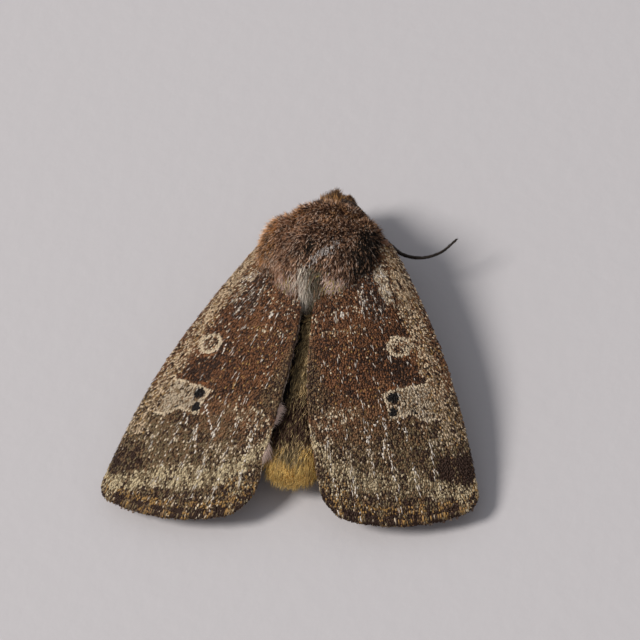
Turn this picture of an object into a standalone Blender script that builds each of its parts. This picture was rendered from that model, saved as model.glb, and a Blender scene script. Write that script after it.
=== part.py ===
"""A noctuid moth at rest, life size: head, collar, thorax, abdomen and tail tuft, two pairs of
folded wings, six legs, two feelers, eyes, palps and a coiled tongue.

The script models in millimetres, with +X to the moth's right, +Y to its head and +Z up, and the floor
at Z = 0 under its feet. Each mesh is scaled to metres once, as it is made, and at the end the
whole moth is moved so that the middle of its footprint is the origin.
"""

import math

import bmesh
import bpy
from mathutils import Matrix, Vector

MM = 0.001

# Gaps between neighbours.
WING_GAP = 0.3
SEAM = 0.2

# Body: centres and half sizes of the rounded forms that it is made of.
THORAX_CENTRE, THORAX_HALF = Vector((0, -0.35, 3.25)), Vector((2.7, 2.85, 2.35))
COLLAR_CENTRE, COLLAR_HALF = Vector((0, 2.1, 3.1)), Vector((2.4, 1.7, 2.05))
FLAP_CENTRE, FLAP_HALF = Vector((1.85, 0.5, 3.4)), Vector((1.4, 2.2, 1.5))
HEAD_CENTRE, HEAD_HALF = Vector((0, 3.9, 2.65)), Vector((1.2, 1.2, 1.2))
ABDOMEN_START, ABDOMEN_END = -2.6, -12.35
ABDOMEN_HALF_WIDTHS = (1.95, 1.35)
ABDOMEN_HALF_HEIGHTS = (1.45, 0.65)
ABDOMEN_HEIGHTS = (2.4, 1.45)
SEGMENT_WAIST, LAST_WAIST_AT = 0.95, 0.8
COLLAR_CUT, TUFT_CUT = 1.75, -10.9
ROUND, PLUMP, FULL = 2.0, 2.2, 2.3

# Head parts.
EYE_CENTRE, EYE_RADIUS = Vector((0.86, 3.98, 2.5)), 0.6
PALP_PATH = ((0.42, 4.5, 1.6), (0.5, 5.0, 1.65), (0.5, 5.3, 1.95), (0.45, 5.35, 2.3))
PALP_RADII = (0.3, 0.345, 0.3, 0.255)
TONGUE_CENTRE, TONGUE_RADIUS, TONGUE_HALF_THICK = Vector((0, 4.75, 1.3)), 0.36, 0.26

# Right forewing: its four corners on the upper face, then how its edges and face depart from straight.
# The left one is its mirror image, held open a little further.
WING_THICK = 0.5
WING_ROOT_FRONT = Vector((3.4, 1.4, 3.7))
WING_ROOT_REAR = Vector((0.4, -2.6, 4.5))
WING_APEX = Vector((9.6, -13.0, 1.0))
WING_TORNUS = Vector((1.75, -13.7, 1.4))
LEFT_APEX_SHIFT = Vector((0.55, 0.35, 0.0))
COSTA_BULGE, INNER_BULGE, TERMEN_BULGE = 0.62, 0.45, 0.95
APEX_ROUNDING, TORNUS_ROUNDING = 1.1, 1.5
WING_CAMBER, WING_ARCH, COSTA_ROLL = 0.35, 0.65, 0.2
COSTA_ROLL_SHARE = 0.12
COLUMNS_TO_EDGES = 0.8

# Right hindwing, folded under the forewing: the share of the forewing's face that it lies below.
HINDWING_U, HINDWING_V = (0.02, 0.80), (0.16, 0.88)
HINDWING_ROUNDING = 0.047

# Legs: hip, knee, ankle, then the foot's two ends, right side.
LEG_PATHS = {
    "front": ((0.9, 2.4, 1.4), (1.65, 3.3, 1.3), (1.85, 4.05, 0.7), (1.75, 4.45, 0.2), (1.45, 5.2, 0.2)),
    "middle": ((1.4, 0.3, 1.3), (3.05, 0.75, 1.45), (3.8, 0.1, 0.75), (4.1, -0.5, 0.2), (4.7, -2.1, 0.2)),
    "hind": ((1.4, -1.9, 1.2), (3.3, -2.8, 1.4), (4.0, -5.2, 0.75), (4.3, -5.9, 0.2), (5.0, -8.3, 0.2)),
}
LEG_RADII = (0.45, 0.42, 0.34, 0.27, 0.26)
FLOOR = 0.0

# Feelers: the right one is held out from under the shoulder, the left one is laid back below the wing.
FEELER_RADIUS = 0.26
FEELER_PATHS = {
    "right": ((0.45, 4.15, 3.65), (1.1, 4.05, 3.42), (1.85, 3.68, 2.5), (2.35, 3.25, 1.9), (2.95, 2.65, 1.8),
              (3.75, 1.9, 2.0), (4.8, 1.5, 2.15), (5.8, 1.85, 2.2), (6.5, 2.8, 2.2)),
    "left": ((-0.45, 4.15, 3.65), (-1.1, 4.05, 3.42), (-1.85, 3.68, 2.5), (-2.4, 3.15, 1.9), (-3.2, 2.2, 1.9),
             (-3.9, 0.6, 2.1), (-4.2, -1.2, 2.1), (-4.6, -3.0, 1.9)),
}

COLOURS = {
    "fur": ((0.12, 0.055, 0.035), 0.9),
    "abdomen_fur": ((0.13, 0.09, 0.05), 0.9),
    "tuft": ((0.32, 0.2, 0.07), 0.9),
    "forewing": ((0.13, 0.065, 0.04), 0.8),
    "hindwing": ((0.2, 0.16, 0.13), 0.8),
    "eye": ((0.01, 0.008, 0.006), 0.15),
    "leg": ((0.1, 0.07, 0.045), 0.8),
    "feeler": ((0.05, 0.04, 0.03), 0.7),
}


def clear_scene():
    for obj in list(bpy.data.objects):
        bpy.data.objects.remove(obj)


def material(name):
    """The finish of a kind of surface, made once."""
    if name in bpy.data.materials:
        return bpy.data.materials[name]
    colour, roughness = COLOURS[name]
    made = bpy.data.materials.new(name)
    made.use_nodes = True
    shader = made.node_tree.nodes["Principled BSDF"]
    shader.inputs["Base Color"].default_value = (*colour, 1)
    shader.inputs["Roughness"].default_value = roughness
    shader.inputs["Metallic"].default_value = 0
    return made


def add_object(name, mesh, finish=None):
    obj = bpy.data.objects.new(name, mesh)
    bpy.context.scene.collection.objects.link(obj)
    if finish:
        mesh.materials.append(material(finish))
        mesh.shade_smooth()
    else:
        obj.hide_render = True
        obj.display_type = "WIRE"
    return obj


def mesh_object(name, bm, finish=None):
    """Turns a bmesh in millimetres into an object in metres. With no finish it is a hidden helper."""
    bmesh.ops.recalc_face_normals(bm, faces=bm.faces)
    bmesh.ops.scale(bm, vec=(MM, MM, MM), verts=bm.verts)
    mesh = bpy.data.meshes.new(name)
    bm.to_mesh(mesh)
    bm.free()
    return add_object(name, mesh, finish)


def mirrored(point, side):
    return Vector((point[0] * side, point[1], point[2]))


def egg(name, centre, half, finish=None, grow=0.0, power=ROUND, segments=18, rings=11):
    """A rounded form like an egg, or with a higher power like a pebble. Its poles point fore and aft."""
    bm = bmesh.new()
    bmesh.ops.create_uvsphere(bm, u_segments=segments, v_segments=rings, radius=1)
    bmesh.ops.rotate(bm, cent=(0, 0, 0), matrix=Matrix.Rotation(math.pi / 2, 3, "X"), verts=bm.verts)
    for vert in bm.verts:
        size = sum(abs(c) ** power for c in vert.co) ** (1 / power)
        vert.co = Vector((vert.co[i] / size * (half[i] + grow) for i in range(3))) + centre
    return mesh_object(name, bm, finish)


def modify(obj, other, operation):
    modifier = obj.modifiers.new(f"{operation} {other.name}"[:60], "BOOLEAN")
    modifier.operation = operation
    modifier.object = other
    modifier.solver = "EXACT"
    return modifier


def applied(obj):
    """Replaces an object's mesh by the one that its modifiers make of it."""
    bpy.context.view_layer.update()
    graph = bpy.context.evaluated_depsgraph_get()
    mesh = bpy.data.meshes.new_from_object(obj.evaluated_get(graph))
    obj.modifiers.clear()
    obj.data = mesh
    return obj


def keep_clear(obj, helpers):
    """Cuts away what the helpers cover, so that obj keeps its gap to the pieces that they stand for."""
    for helper in helpers:
        modify(obj, helper, "DIFFERENCE")


def slab(name, y_low, y_high):
    """A hidden block that reaches across the moth between two stations of its length."""
    bm = bmesh.new()
    bmesh.ops.create_cube(bm, size=1)
    bmesh.ops.scale(bm, vec=(20, y_high - y_low, 20), verts=bm.verts)
    bmesh.ops.translate(bm, vec=(0, (y_low + y_high) / 2, 0), verts=bm.verts)
    return mesh_object(name, bm)


def between(ends, share):
    return ends[0] + (ends[1] - ends[0]) * share


def abdomen_section(along):
    """Half width, half height and centre height of the abdomen, from 0 at the waist to 1 at its tail."""
    half_width = between(ABDOMEN_HALF_WIDTHS, along**0.9)
    half_height = between(ABDOMEN_HALF_HEIGHTS, along**1.3)
    centre = between(ABDOMEN_HEIGHTS, along**1.1)
    return half_width, half_height, centre


def abdomen_form(name, grow=0.0, stations=13, sides=18):
    """The abdomen as rings that are bridged into one skin, with a slight groove between the segments."""
    bm = bmesh.new()
    rings = []
    for i in range(stations):
        along = i / (stations - 1)
        half_width, half_height, centre = abdomen_section(along)
        waist = SEGMENT_WAIST if i % 2 and along < LAST_WAIST_AT else 1.0
        made = bmesh.ops.create_circle(bm, segments=sides, radius=1)["verts"]
        bmesh.ops.rotate(bm, cent=(0, 0, 0), matrix=Matrix.Rotation(math.pi / 2, 3, "X"), verts=made)
        size = (half_width * waist + grow, 1, half_height * waist + grow)
        bmesh.ops.scale(bm, vec=size, verts=made)
        y = ABDOMEN_START + (ABDOMEN_END - ABDOMEN_START) * along
        bmesh.ops.translate(bm, vec=(0, y, centre), verts=made)
        rings.append(list({edge for vert in made for edge in vert.link_edges}))
    for first, second in zip(rings, rings[1:]):
        bmesh.ops.bridge_loops(bm, edges=first + second)
    bmesh.ops.holes_fill(bm, edges=bm.edges, sides=0)
    return mesh_object(name, bm)


def body_form(name, grow=0.0):
    """The soft body without the abdomen: thorax, collar, shoulder flaps and head, joined into one."""
    whole = egg(name, THORAX_CENTRE, THORAX_HALF, grow=grow, power=FULL)
    collar = egg(name + "_collar", COLLAR_CENTRE, COLLAR_HALF, grow=grow, power=PLUMP)
    modify(whole, collar, "UNION")
    for side, label in ((1, "right"), (-1, "left")):
        centre = mirrored(FLAP_CENTRE, side)
        flap = egg(f"{name}_flap_{label}", centre, FLAP_HALF, grow=grow, power=PLUMP)
        modify(whole, flap, "UNION")
    return applied(whole)


def eye_form(name, side, finish=None, grow=0.0):
    """An eye, or the room to keep clear for one."""
    half = Vector((EYE_RADIUS, EYE_RADIUS, EYE_RADIUS))
    return egg(name, mirrored(EYE_CENTRE, side), half, finish, grow=grow, segments=14, rings=9)


def section(name, source, y_low, y_high, finish, helpers=()):
    """The length of the body between two stations, as a piece of its own."""
    piece = add_object(name, source.data.copy(), finish)
    modify(piece, slab(name + "_block", y_low, y_high), "INTERSECT")
    keep_clear(piece, helpers)
    return piece


def smooth_path(points, steps):
    """Points on a smooth line through the given ones (Catmull-Rom)."""
    ends = [points[0] * 2 - points[1], *points, points[-1] * 2 - points[-2]]
    found = []
    for a, b, c, d in zip(ends, ends[1:], ends[2:], ends[3:]):
        for step in range(steps):
            t = step / steps
            bend = 2 * a - 5 * b + 4 * c - d
            twist = 3 * b - a - 3 * c + d
            found.append(b + 0.5 * ((c - a) * t + bend * t**2 + twist * t**3))
    return [*found, points[-1]]


def tube(name, path, radii, finish, flat_at=None, resolution=2):
    """A closed tube along a path, its thickness following radii, cut flat underneath at a height if asked."""
    curve = bpy.data.curves.new(name, "CURVE")
    curve.dimensions = "3D"
    curve.bevel_depth = MM
    curve.bevel_resolution = resolution
    curve.use_fill_caps = True
    spline = curve.splines.new("POLY")
    spline.points.add(len(path) - 1)
    for i, (point, spot) in enumerate(zip(spline.points, path)):
        share = i / (len(path) - 1) * (len(radii) - 1)
        low = min(int(share), len(radii) - 2)
        point.co = (*(spot * MM), 1)
        point.radius = radii[low] + (radii[low + 1] - radii[low]) * (share - low)
    holder = bpy.data.objects.new(name + "_line", curve)
    bpy.context.scene.collection.objects.link(holder)
    mesh = bpy.data.meshes.new_from_object(holder)
    bpy.data.objects.remove(holder)
    bm = bmesh.new()
    bm.from_mesh(mesh)
    bmesh.ops.remove_doubles(bm, verts=bm.verts, dist=1e-7)
    bmesh.ops.scale(bm, vec=(1 / MM, 1 / MM, 1 / MM), verts=bm.verts)
    if flat_at is not None:
        everything = [*bm.verts, *bm.edges, *bm.faces]
        bmesh.ops.bisect_plane(
            bm, geom=everything, plane_co=(0, 0, flat_at), plane_no=(0, 0, 1), clear_inner=True, dist=1e-6
        )
        bmesh.ops.holes_fill(bm, edges=bm.edges, sides=0)
    return mesh_object(name, bm, finish)


def corner_cut(v, rounding, span):
    """How far a corner is drawn in, for a rounding given in millimetres along a side of that span."""
    reach = rounding / span
    return rounding * (1 - math.sqrt(1 - max(0.0, 1 - v / reach) ** 2))


def forewing_face(u, v, side):
    """A point of a forewing's upper face: u from root to outer edge, v from costa to inner edge."""
    apex = WING_APEX + (LEFT_APEX_SHIFT if side < 0 else Vector())
    root = WING_ROOT_FRONT.lerp(WING_ROOT_REAR, v)
    tip = apex.lerp(WING_TORNUS, v)
    span = (WING_TORNUS - apex).length
    drawn_in = corner_cut(v, APEX_ROUNDING, span) + corner_cut(1 - v, TORNUS_ROUNDING, span)
    outward = (tip - root).normalized()
    end = tip + outward * (TERMEN_BULGE * (1 - (2 * v - 1) ** 2) - drawn_in)
    point = root.lerp(end, u)
    costa = apex - WING_ROOT_FRONT
    beyond = Vector((-costa.y, costa.x, 0)).normalized()
    point += beyond * (COSTA_BULGE * math.sin(math.pi * u) ** 0.8 * (1 - v) ** 2)
    point.x -= INNER_BULGE * math.sin(math.pi * u) ** 0.8 * v**2
    point.z += WING_CAMBER * (1 - (2 * v - 1) ** 2) * math.sin(math.pi * (0.25 + 0.75 * u))
    point.z += WING_ARCH * (0.5 + 0.5 * v) * math.sin(math.pi * u**1.4)
    point.z -= COSTA_ROLL * max(0.0, 1 - v / COSTA_ROLL_SHARE) ** 2
    return mirrored(point, side)


def hindwing_face(u, v, side):
    """A point of a hindwing's upper face. It lies one wing's thickness and a gap below the forewing's."""
    low_u, high_u = HINDWING_U
    low_v, high_v = HINDWING_V
    reach = high_u - HINDWING_ROUNDING * (2 * v - 1) ** 2
    point = forewing_face(low_u + (reach - low_u) * u, low_v + (high_v - low_v) * v, side)
    point.z -= WING_THICK + WING_GAP
    return point


def wing(name, face, side, finish, steps, helpers):
    """A wing as a sheet with its real curve, thickened downwards, and cut where it meets the body."""
    bm = bmesh.new()
    bmesh.ops.create_grid(bm, x_segments=steps[0], y_segments=steps[1], size=0.5)
    for vert in bm.verts:
        v = vert.co.y + 0.5
        v += COLUMNS_TO_EDGES * (0.5 - 0.5 * math.cos(math.pi * v) - v)
        vert.co = face(vert.co.x + 0.5, v, side)
    bmesh.ops.recalc_face_normals(bm, faces=bm.faces)
    if sum(f.normal.z for f in bm.faces) < 0:
        bmesh.ops.reverse_faces(bm, faces=bm.faces)
    thicken(bm, WING_THICK)
    obj = mesh_object(name, bm, finish)
    keep_clear(obj, helpers)
    return obj


def thicken(bm, depth):
    """Gives a sheet a lower face straight below the upper one, and closes the edge between them."""
    top = list(bm.faces)
    made = bmesh.ops.duplicate(bm, geom=[*bm.verts, *bm.edges, *top])
    below = [item for item in made["geom"] if isinstance(item, bmesh.types.BMVert)]
    under = [item for item in made["geom"] if isinstance(item, bmesh.types.BMFace)]
    bmesh.ops.translate(bm, vec=(0, 0, -depth), verts=below)
    bmesh.ops.reverse_faces(bm, faces=under)
    rim = [edge for edge in bm.edges if edge.is_boundary]
    bmesh.ops.bridge_loops(bm, edges=rim)


def build_body():
    """The soft body, whole, then parted by thin cuts across it."""
    front = body_form("front_form")
    abdomen = abdomen_form("abdomen_form")
    eyes = [eye_form(f"eye_room_{label}", side, grow=SEAM) for side, label in ((1, "right"), (-1, "left"))]
    half = SEAM / 2
    collar_room = egg("collar_room", COLLAR_CENTRE, COLLAR_HALF, grow=SEAM, power=PLUMP)
    head = egg("head", HEAD_CENTRE, HEAD_HALF, "fur", power=FULL)
    keep_clear(head, [collar_room, *eyes])
    section("collar", front, COLLAR_CUT + half, 10, "fur", eyes)
    section("thorax", front, -10, COLLAR_CUT - half, "fur")
    thorax_room = egg("thorax_room", THORAX_CENTRE, THORAX_HALF, grow=SEAM, power=FULL)
    section("abdomen", abdomen, TUFT_CUT + half, 10, "abdomen_fur", [thorax_room])
    section("tail_tuft", abdomen, -20, TUFT_CUT - half, "tuft")


def build_head_parts():
    head_room = egg("head_room", HEAD_CENTRE, HEAD_HALF, grow=SEAM, power=FULL)
    body_room = body_form("feeler_body_room", grow=SEAM)
    for side, label in ((1, "right"), (-1, "left")):
        eye_form(f"eye_{label}", side, "eye")
        palp = smooth_path([mirrored(p, side) for p in PALP_PATH], 2)
        keep_clear(tube(f"palp_{label}", palp, PALP_RADII, "fur"), [head_room])
        eye_room = eye_form(f"feeler_eye_room_{label}", side, grow=SEAM)
        line = smooth_path([Vector(p) for p in FEELER_PATHS[label]], 3)
        feeler = tube(f"feeler_{label}", line, (FEELER_RADIUS,) * 2, "feeler", resolution=1)
        keep_clear(feeler, [head_room, eye_room, body_room])
    keep_clear(tongue(), [head_room])


def tongue():
    """The coiled tongue below the head, as one round ring that stands between the palps."""
    bm = bmesh.new()
    made = bmesh.ops.create_circle(bm, segments=8, radius=TONGUE_HALF_THICK)
    bmesh.ops.translate(bm, vec=(TONGUE_RADIUS, 0, 0), verts=made["verts"])
    turn = {"axis": (0, 1, 0), "cent": (0, 0, 0), "angle": math.tau, "steps": 14, "use_merge": True}
    bmesh.ops.spin(bm, geom=[*bm.verts, *bm.edges], dvec=(0, 0, 0), use_duplicate=False, **turn)
    bmesh.ops.rotate(bm, cent=(0, 0, 0), matrix=Matrix.Rotation(math.pi / 2, 3, "Z"), verts=bm.verts)
    bmesh.ops.translate(bm, vec=TONGUE_CENTRE, verts=bm.verts)
    return mesh_object("tongue", bm, "feeler")


def build_wings():
    body_room = body_form("wing_body_room", grow=WING_GAP)
    abdomen_room = abdomen_form("wing_abdomen_room", grow=SEAM)
    for side, label in ((1, "right"), (-1, "left")):
        wing(f"forewing_{label}", forewing_face, side, "forewing", (22, 12), [body_room, abdomen_room])
        wing(f"hindwing_{label}", hindwing_face, side, "hindwing", (12, 8), [body_room, abdomen_room])


def build_legs():
    body_room = body_form("leg_body_room", grow=SEAM)
    for side, label in ((1, "right"), (-1, "left")):
        for pair, points in LEG_PATHS.items():
            path = smooth_path([mirrored(p, side) for p in points], 3)
            leg = tube(f"leg_{pair}_{label}", path, LEG_RADII, "leg", flat_at=FLOOR)
            keep_clear(leg, [body_room])


def centre_on_origin():
    """Moves everything so that the origin lies under the middle of the moth's box, at its lowest point."""
    bpy.context.view_layer.update()
    graph = bpy.context.evaluated_depsgraph_get()
    shown = [obj.evaluated_get(graph) for obj in bpy.data.objects if not obj.hide_render]
    corners = [obj.matrix_world @ Vector(corner) for obj in shown for corner in obj.bound_box]
    low = [min(c[i] for c in corners) for i in range(3)]
    high = [max(c[i] for c in corners) for i in range(3)]
    shift = Vector((-(low[0] + high[0]) / 2, -(low[1] + high[1]) / 2, -low[2]))
    for obj in bpy.data.objects:
        obj.location += shift


clear_scene()
build_body()
build_head_parts()
build_wings()
build_legs()
centre_on_origin()
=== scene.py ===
# %% [markdown]
# # A noctuid moth at rest
#
# This notebook dresses the plain solids of a moth: it gives it wings covered with scales, a furred body,
# ringed feelers and glossy eyes. The solids come from a frame that is loaded first and never changed.
# Lengths in the text are millimetres in the moth's own frame: +X to its right, +Y to its head, +Z up.

# %% Load the frame and the libraries
import math
from types import SimpleNamespace

import bmesh
import bpy
import numpy as np
from mathutils import Matrix, Vector


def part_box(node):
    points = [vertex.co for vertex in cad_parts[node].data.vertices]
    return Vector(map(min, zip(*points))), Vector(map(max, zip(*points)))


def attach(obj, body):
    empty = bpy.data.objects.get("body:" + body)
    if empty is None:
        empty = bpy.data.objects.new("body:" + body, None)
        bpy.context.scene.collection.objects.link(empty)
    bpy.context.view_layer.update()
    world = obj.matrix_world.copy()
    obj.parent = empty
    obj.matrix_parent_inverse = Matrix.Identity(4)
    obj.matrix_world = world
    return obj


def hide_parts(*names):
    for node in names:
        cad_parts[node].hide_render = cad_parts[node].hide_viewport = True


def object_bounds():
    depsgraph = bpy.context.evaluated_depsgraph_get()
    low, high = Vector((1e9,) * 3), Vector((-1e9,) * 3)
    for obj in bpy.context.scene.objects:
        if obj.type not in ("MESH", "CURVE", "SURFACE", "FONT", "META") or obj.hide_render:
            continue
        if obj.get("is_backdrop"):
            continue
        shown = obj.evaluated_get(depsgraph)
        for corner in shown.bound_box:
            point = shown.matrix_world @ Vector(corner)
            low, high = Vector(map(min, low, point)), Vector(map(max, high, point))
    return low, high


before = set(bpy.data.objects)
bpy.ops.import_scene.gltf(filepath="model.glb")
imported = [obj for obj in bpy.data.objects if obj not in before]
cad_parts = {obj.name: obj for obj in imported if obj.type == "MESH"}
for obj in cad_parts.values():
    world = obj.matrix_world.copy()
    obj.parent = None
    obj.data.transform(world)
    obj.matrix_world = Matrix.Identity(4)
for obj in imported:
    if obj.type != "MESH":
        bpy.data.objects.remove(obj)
cad_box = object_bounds()
print("frame nodes:", len(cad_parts))

# %% [markdown]
# ## Where things are
#
# The moth is small, so it is easier to think in millimetres. The solids say where the moth stands: the
# thorax is symmetric, so its box gives the midline, and the tail tuft ends a known distance behind the
# line of the wing hinges. Every piece below is worked out in millimetres from that line, as NumPy
# arrays of points, and `to_metres` puts them in the frame.

# %% The moth's own frame
MM = 0.001
HINGE_TO_TAIL = 12.35
thorax_low, thorax_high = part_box("thorax")
tail_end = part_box("tail_tuft")[0].y
ORIGIN = np.array([(thorax_low.x + thorax_high.x) / 2, tail_end + HINGE_TO_TAIL * MM, 0.0])
SIDES = ((1, "right"), (-1, "left"))
DICE = np.random.default_rng(38)


def to_metres(points):
    return np.asarray(points) * MM + ORIGIN


def unit(vectors):
    return vectors / np.maximum(np.linalg.norm(vectors, axis=-1, keepdims=True), 1e-12)


def blend(a, b, share):
    return a + (b - a) * share


def eased(values, low, high):
    """0 below low, 1 above high, and a soft S between them."""
    share = np.clip((values - low) / (high - low), 0, 1)
    return share * share * (3 - 2 * share)


print("hinge line at", ORIGIN.round(5))

# %% [markdown]
# ## Shader sums as Python
#
# A moth's wing is a mosaic: each scale has a single colour, and the pattern comes from how many scales
# of each colour lie in a place. That takes a lot of small sums in the shader. Written as nodes they
# are hard to read, so `Sum` wraps a socket and lets Python's own operators add the Math nodes, and
# `Finish` starts a material and adds any other node.

# %% A socket that can be used in a sum
def operator(operation, swapped=False):
    """What one of Python's operators does to a Sum: it adds a Math node."""
    return lambda first, second: first.math(operation, second, swapped=swapped)


class Sum:
    def __init__(self, finish, socket):
        self.finish, self.socket = finish, socket

    def math(self, operation, *others, swapped=False):
        terms = [self, *others]
        if swapped:
            terms.reverse()
        return self.finish.node("Math", {"operation": operation}, dict(enumerate(terms)))

    __add__ = __radd__ = operator("ADD")
    __sub__, __rsub__ = operator("SUBTRACT"), operator("SUBTRACT", swapped=True)
    __mul__ = __rmul__ = operator("MULTIPLY")
    __truediv__ = operator("DIVIDE")
    __gt__, __lt__ = operator("GREATER_THAN"), operator("LESS_THAN")


# %% A material that is built from nodes
class Finish:
    """A new material with a Principled shader. Its constant sockets are given by name."""

    def __init__(self, name, **sockets):
        self.material = bpy.data.materials.new(name)
        self.material.use_nodes = True
        self.tree = self.material.node_tree
        self.shader = self.tree.nodes["Principled BSDF"]
        self.feed(self.shader, sockets)

    def feed(self, node, sockets):
        """Sets or links a node's sockets. A colour is a plain triple."""
        for name, value in sockets.items():
            entry = node.inputs[name if isinstance(name, int) else name.replace("_", " ")]
            if isinstance(value, Sum):
                self.tree.links.new(value.socket, entry)
            else:
                entry.default_value = (*value, 1) if isinstance(value, tuple) else value

    def node(self, kind, settings=None, sockets=None, out=0):
        """Adds a node: its settings first, then the values or links of its sockets."""
        made = self.tree.nodes.new("ShaderNode" + kind)
        for name, value in (settings or {}).items():
            setattr(made, name, value)
        self.feed(made, sockets or {})
        return Sum(self, made.outputs[out])

    def attribute(self, name, out="Fac"):
        return self.node("Attribute", {"attribute_name": name}, out=out)

    def wear(self, **sockets):
        self.feed(self.shader, sockets)
        return self.material


# %% Helpers for single nodes
def split(vector):
    made = vector.finish.node("SeparateXYZ", sockets={0: vector})
    return [Sum(vector.finish, made.socket.node.outputs[i]) for i in range(3)]


def join(x, y, z=0.0):
    return x.finish.node("CombineXYZ", sockets={0: x, 1: y, 2: z})


def noise(place, scale, detail=2.0, out=0):
    return place.finish.node("TexNoise", sockets={"Vector": place, "Scale": scale, "Detail": detail}, out=out)


def bump(height, distance, strength):
    sockets = {"Strength": strength, "Distance": distance, "Height": height}
    return height.finish.node("Bump", sockets=sockets)


def step(value, low, high, to=(0.0, 1.0)):
    """A soft step from low to high."""
    sockets = {0: value, 1: low, 2: high, 3: to[0], 4: to[1]}
    return value.finish.node("MapRange", {"interpolation_type": "SMOOTHSTEP"}, sockets)


def mix(share, first, second):
    """A colour mix. Colours are plain triples or links."""
    return share.finish.node("Mix", {"data_type": "RGBA"}, {0: share, 6: first, 7: second}, out=2)


print("shader tools ready")

# %% [markdown]
# ## Skins, and the coat that covers them
#
# Every part has a skin, and most skins carry a coat of scales or hair. A skin is a grid that a
# function bends into shape, which keeps a tidy UV map called OFBake for later baking. A coat is one
# small tuft, modelled once and then stamped thousands of times with NumPy: that is much faster than
# thousands of objects, and it exports as plain mesh. Each stamp keeps three random numbers, so the
# shader can give each scale its own colour, and the place of its root on the skin.

# %% Skins from a bent grid
def new_piece(name, mesh, finish, slot, nodes=()):
    """Links a mesh as a piece of the moth that rides on its body, and hides the solids that it stands for."""
    piece = bpy.data.objects.new(name, mesh)
    bpy.context.scene.collection.objects.link(piece)
    mesh.materials.append(finish)
    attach(piece, "root")
    if nodes:
        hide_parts(*nodes)
    print(f"{name}: {len(mesh.polygons)} faces")
    return piece


def write_notes(mesh, notes):
    """Writes what the shader reads at each point: a number or a vector under each name."""
    for name, values in notes.items():
        values = np.asarray(values, np.float32)
        kind, field = ("FLOAT", "value") if values.ndim == 1 else ("FLOAT_VECTOR", "vector")
        mesh.attributes.new(name, kind, "POINT").data.foreach_set(field, values.ravel())


def finish_mesh(bm, name, notes=None):
    """Turns a bmesh in millimetres into a smooth mesh in the frame. notes(u, v) is what its shader reads."""
    bmesh.ops.recalc_face_normals(bm, faces=bm.faces)
    mesh = bpy.data.meshes.new(name)
    bm.to_mesh(mesh)
    bm.free()
    points = np.empty(len(mesh.vertices) * 3, np.float32)
    mesh.vertices.foreach_get("co", points)
    points = points.reshape(-1, 3)
    mesh.vertices.foreach_set("co", to_metres(points).astype(np.float32).ravel())
    mesh.shade_smooth()
    found = {"root": points, "tone": np.full((len(points), 3), 0.5)}
    if notes:
        shares = np.empty(len(points) * 3, np.float32)
        mesh.attributes["share"].data.foreach_get("vector", shares)
        found.update(notes(*shares.reshape(-1, 3)[:, :2].T.astype(float)))
    write_notes(mesh, found)
    return mesh


def bent_grid(shapes, along, around):
    """Closed skins: grids bent by shape(u, v), with u along and v around, both from 0 to 1."""
    bm = bmesh.new()
    if len(shapes) == 1:
        bm.loops.layers.uv.new("OFBake")
    share = bm.verts.layers.float_vector.new("share")
    for shape in shapes:
        grid = {"x_segments": along, "y_segments": around, "size": 0.5, "calc_uvs": True}
        made = bmesh.ops.create_grid(bm, **grid)["verts"]
        flat = np.array([vert.co[:2] for vert in made]) + 0.5
        for vert, (u, v), place in zip(made, flat, shape(*flat.T)):
            vert.co = place
            vert[share] = (u, v, 0)
    bmesh.ops.remove_doubles(bm, verts=bm.verts, dist=1e-4)
    bmesh.ops.dissolve_degenerate(bm, edges=bm.edges, dist=1e-4)
    bmesh.ops.holes_fill(bm, edges=bm.edges, sides=0)
    return bm


# %% Roots for a coat, scattered over a skin
def scatter(shape, count, density=None, cells=(260, 130)):
    """Picks roots over a skin, evenly by area or by density(points).

    Returns the roots, the directions out of the skin and along it, and their places on its UV map.
    """
    u, v = np.meshgrid(np.linspace(0, 1, cells[0] + 1), np.linspace(0, 1, cells[1] + 1), indexing="ij")
    net = shape(u.ravel(), v.ravel()).reshape(*u.shape, 3)
    along = (net[1:, :-1] - net[:-1, :-1] + net[1:, 1:] - net[:-1, 1:]) / 2
    around = (net[:-1, 1:] - net[:-1, :-1] + net[1:, 1:] - net[1:, :-1]) / 2
    out = np.cross(along, around)
    middle = net.mean(axis=1, keepdims=True)[:-1]
    out *= np.sign((out * (net[:-1, :-1] - middle)).sum(-1, keepdims=True))
    weight = np.linalg.norm(out, axis=-1)
    if density:
        weight = weight * density(net[:-1, :-1])
    cell = DICE.choice(weight.size, count, p=(weight / weight.sum()).ravel())
    i, j = np.unravel_index(cell, weight.shape)
    a, b = DICE.random((2, count, 1))
    roots = net[i, j] + along[i, j] * a + around[i, j] * b
    patch = np.concatenate([(i[:, None] + a) / cells[0], (j[:, None] + b) / cells[1]], axis=1)
    return roots, unit(out[i, j]), unit(along[i, j]), patch


# %% Tufts, modelled once
def template(bm):
    """A tuft's points, and its faces as one flat list of corners with the place where each face starts."""
    points = np.array([vert.co[:] for vert in bm.verts])
    bm.verts.index_update()
    faces = [[vert.index for vert in face.verts] for face in bm.faces]
    bm.free()
    corners = np.concatenate(faces)
    starts = np.cumsum([0] + [len(face) for face in faces[:-1]])
    return points, corners, starts


def scale_tuft():
    """A wing scale: a thin vane, narrow at its root and blunt at its tip, from a flattened double cone."""
    bm = bmesh.new()
    bmesh.ops.create_uvsphere(bm, u_segments=6, v_segments=2, radius=0.5)
    bmesh.ops.rotate(bm, cent=(0, 0, 0), matrix=Matrix.Rotation(math.pi / 6, 3, "Z"), verts=bm.verts)
    bmesh.ops.translate(bm, vec=(0, 0.5, 0), verts=bm.verts)
    bmesh.ops.recalc_face_normals(bm, faces=bm.faces)
    for vert in bm.verts:
        vert.co.x *= 0.6 + 0.8 * vert.co.y
    return template(bm)


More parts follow.
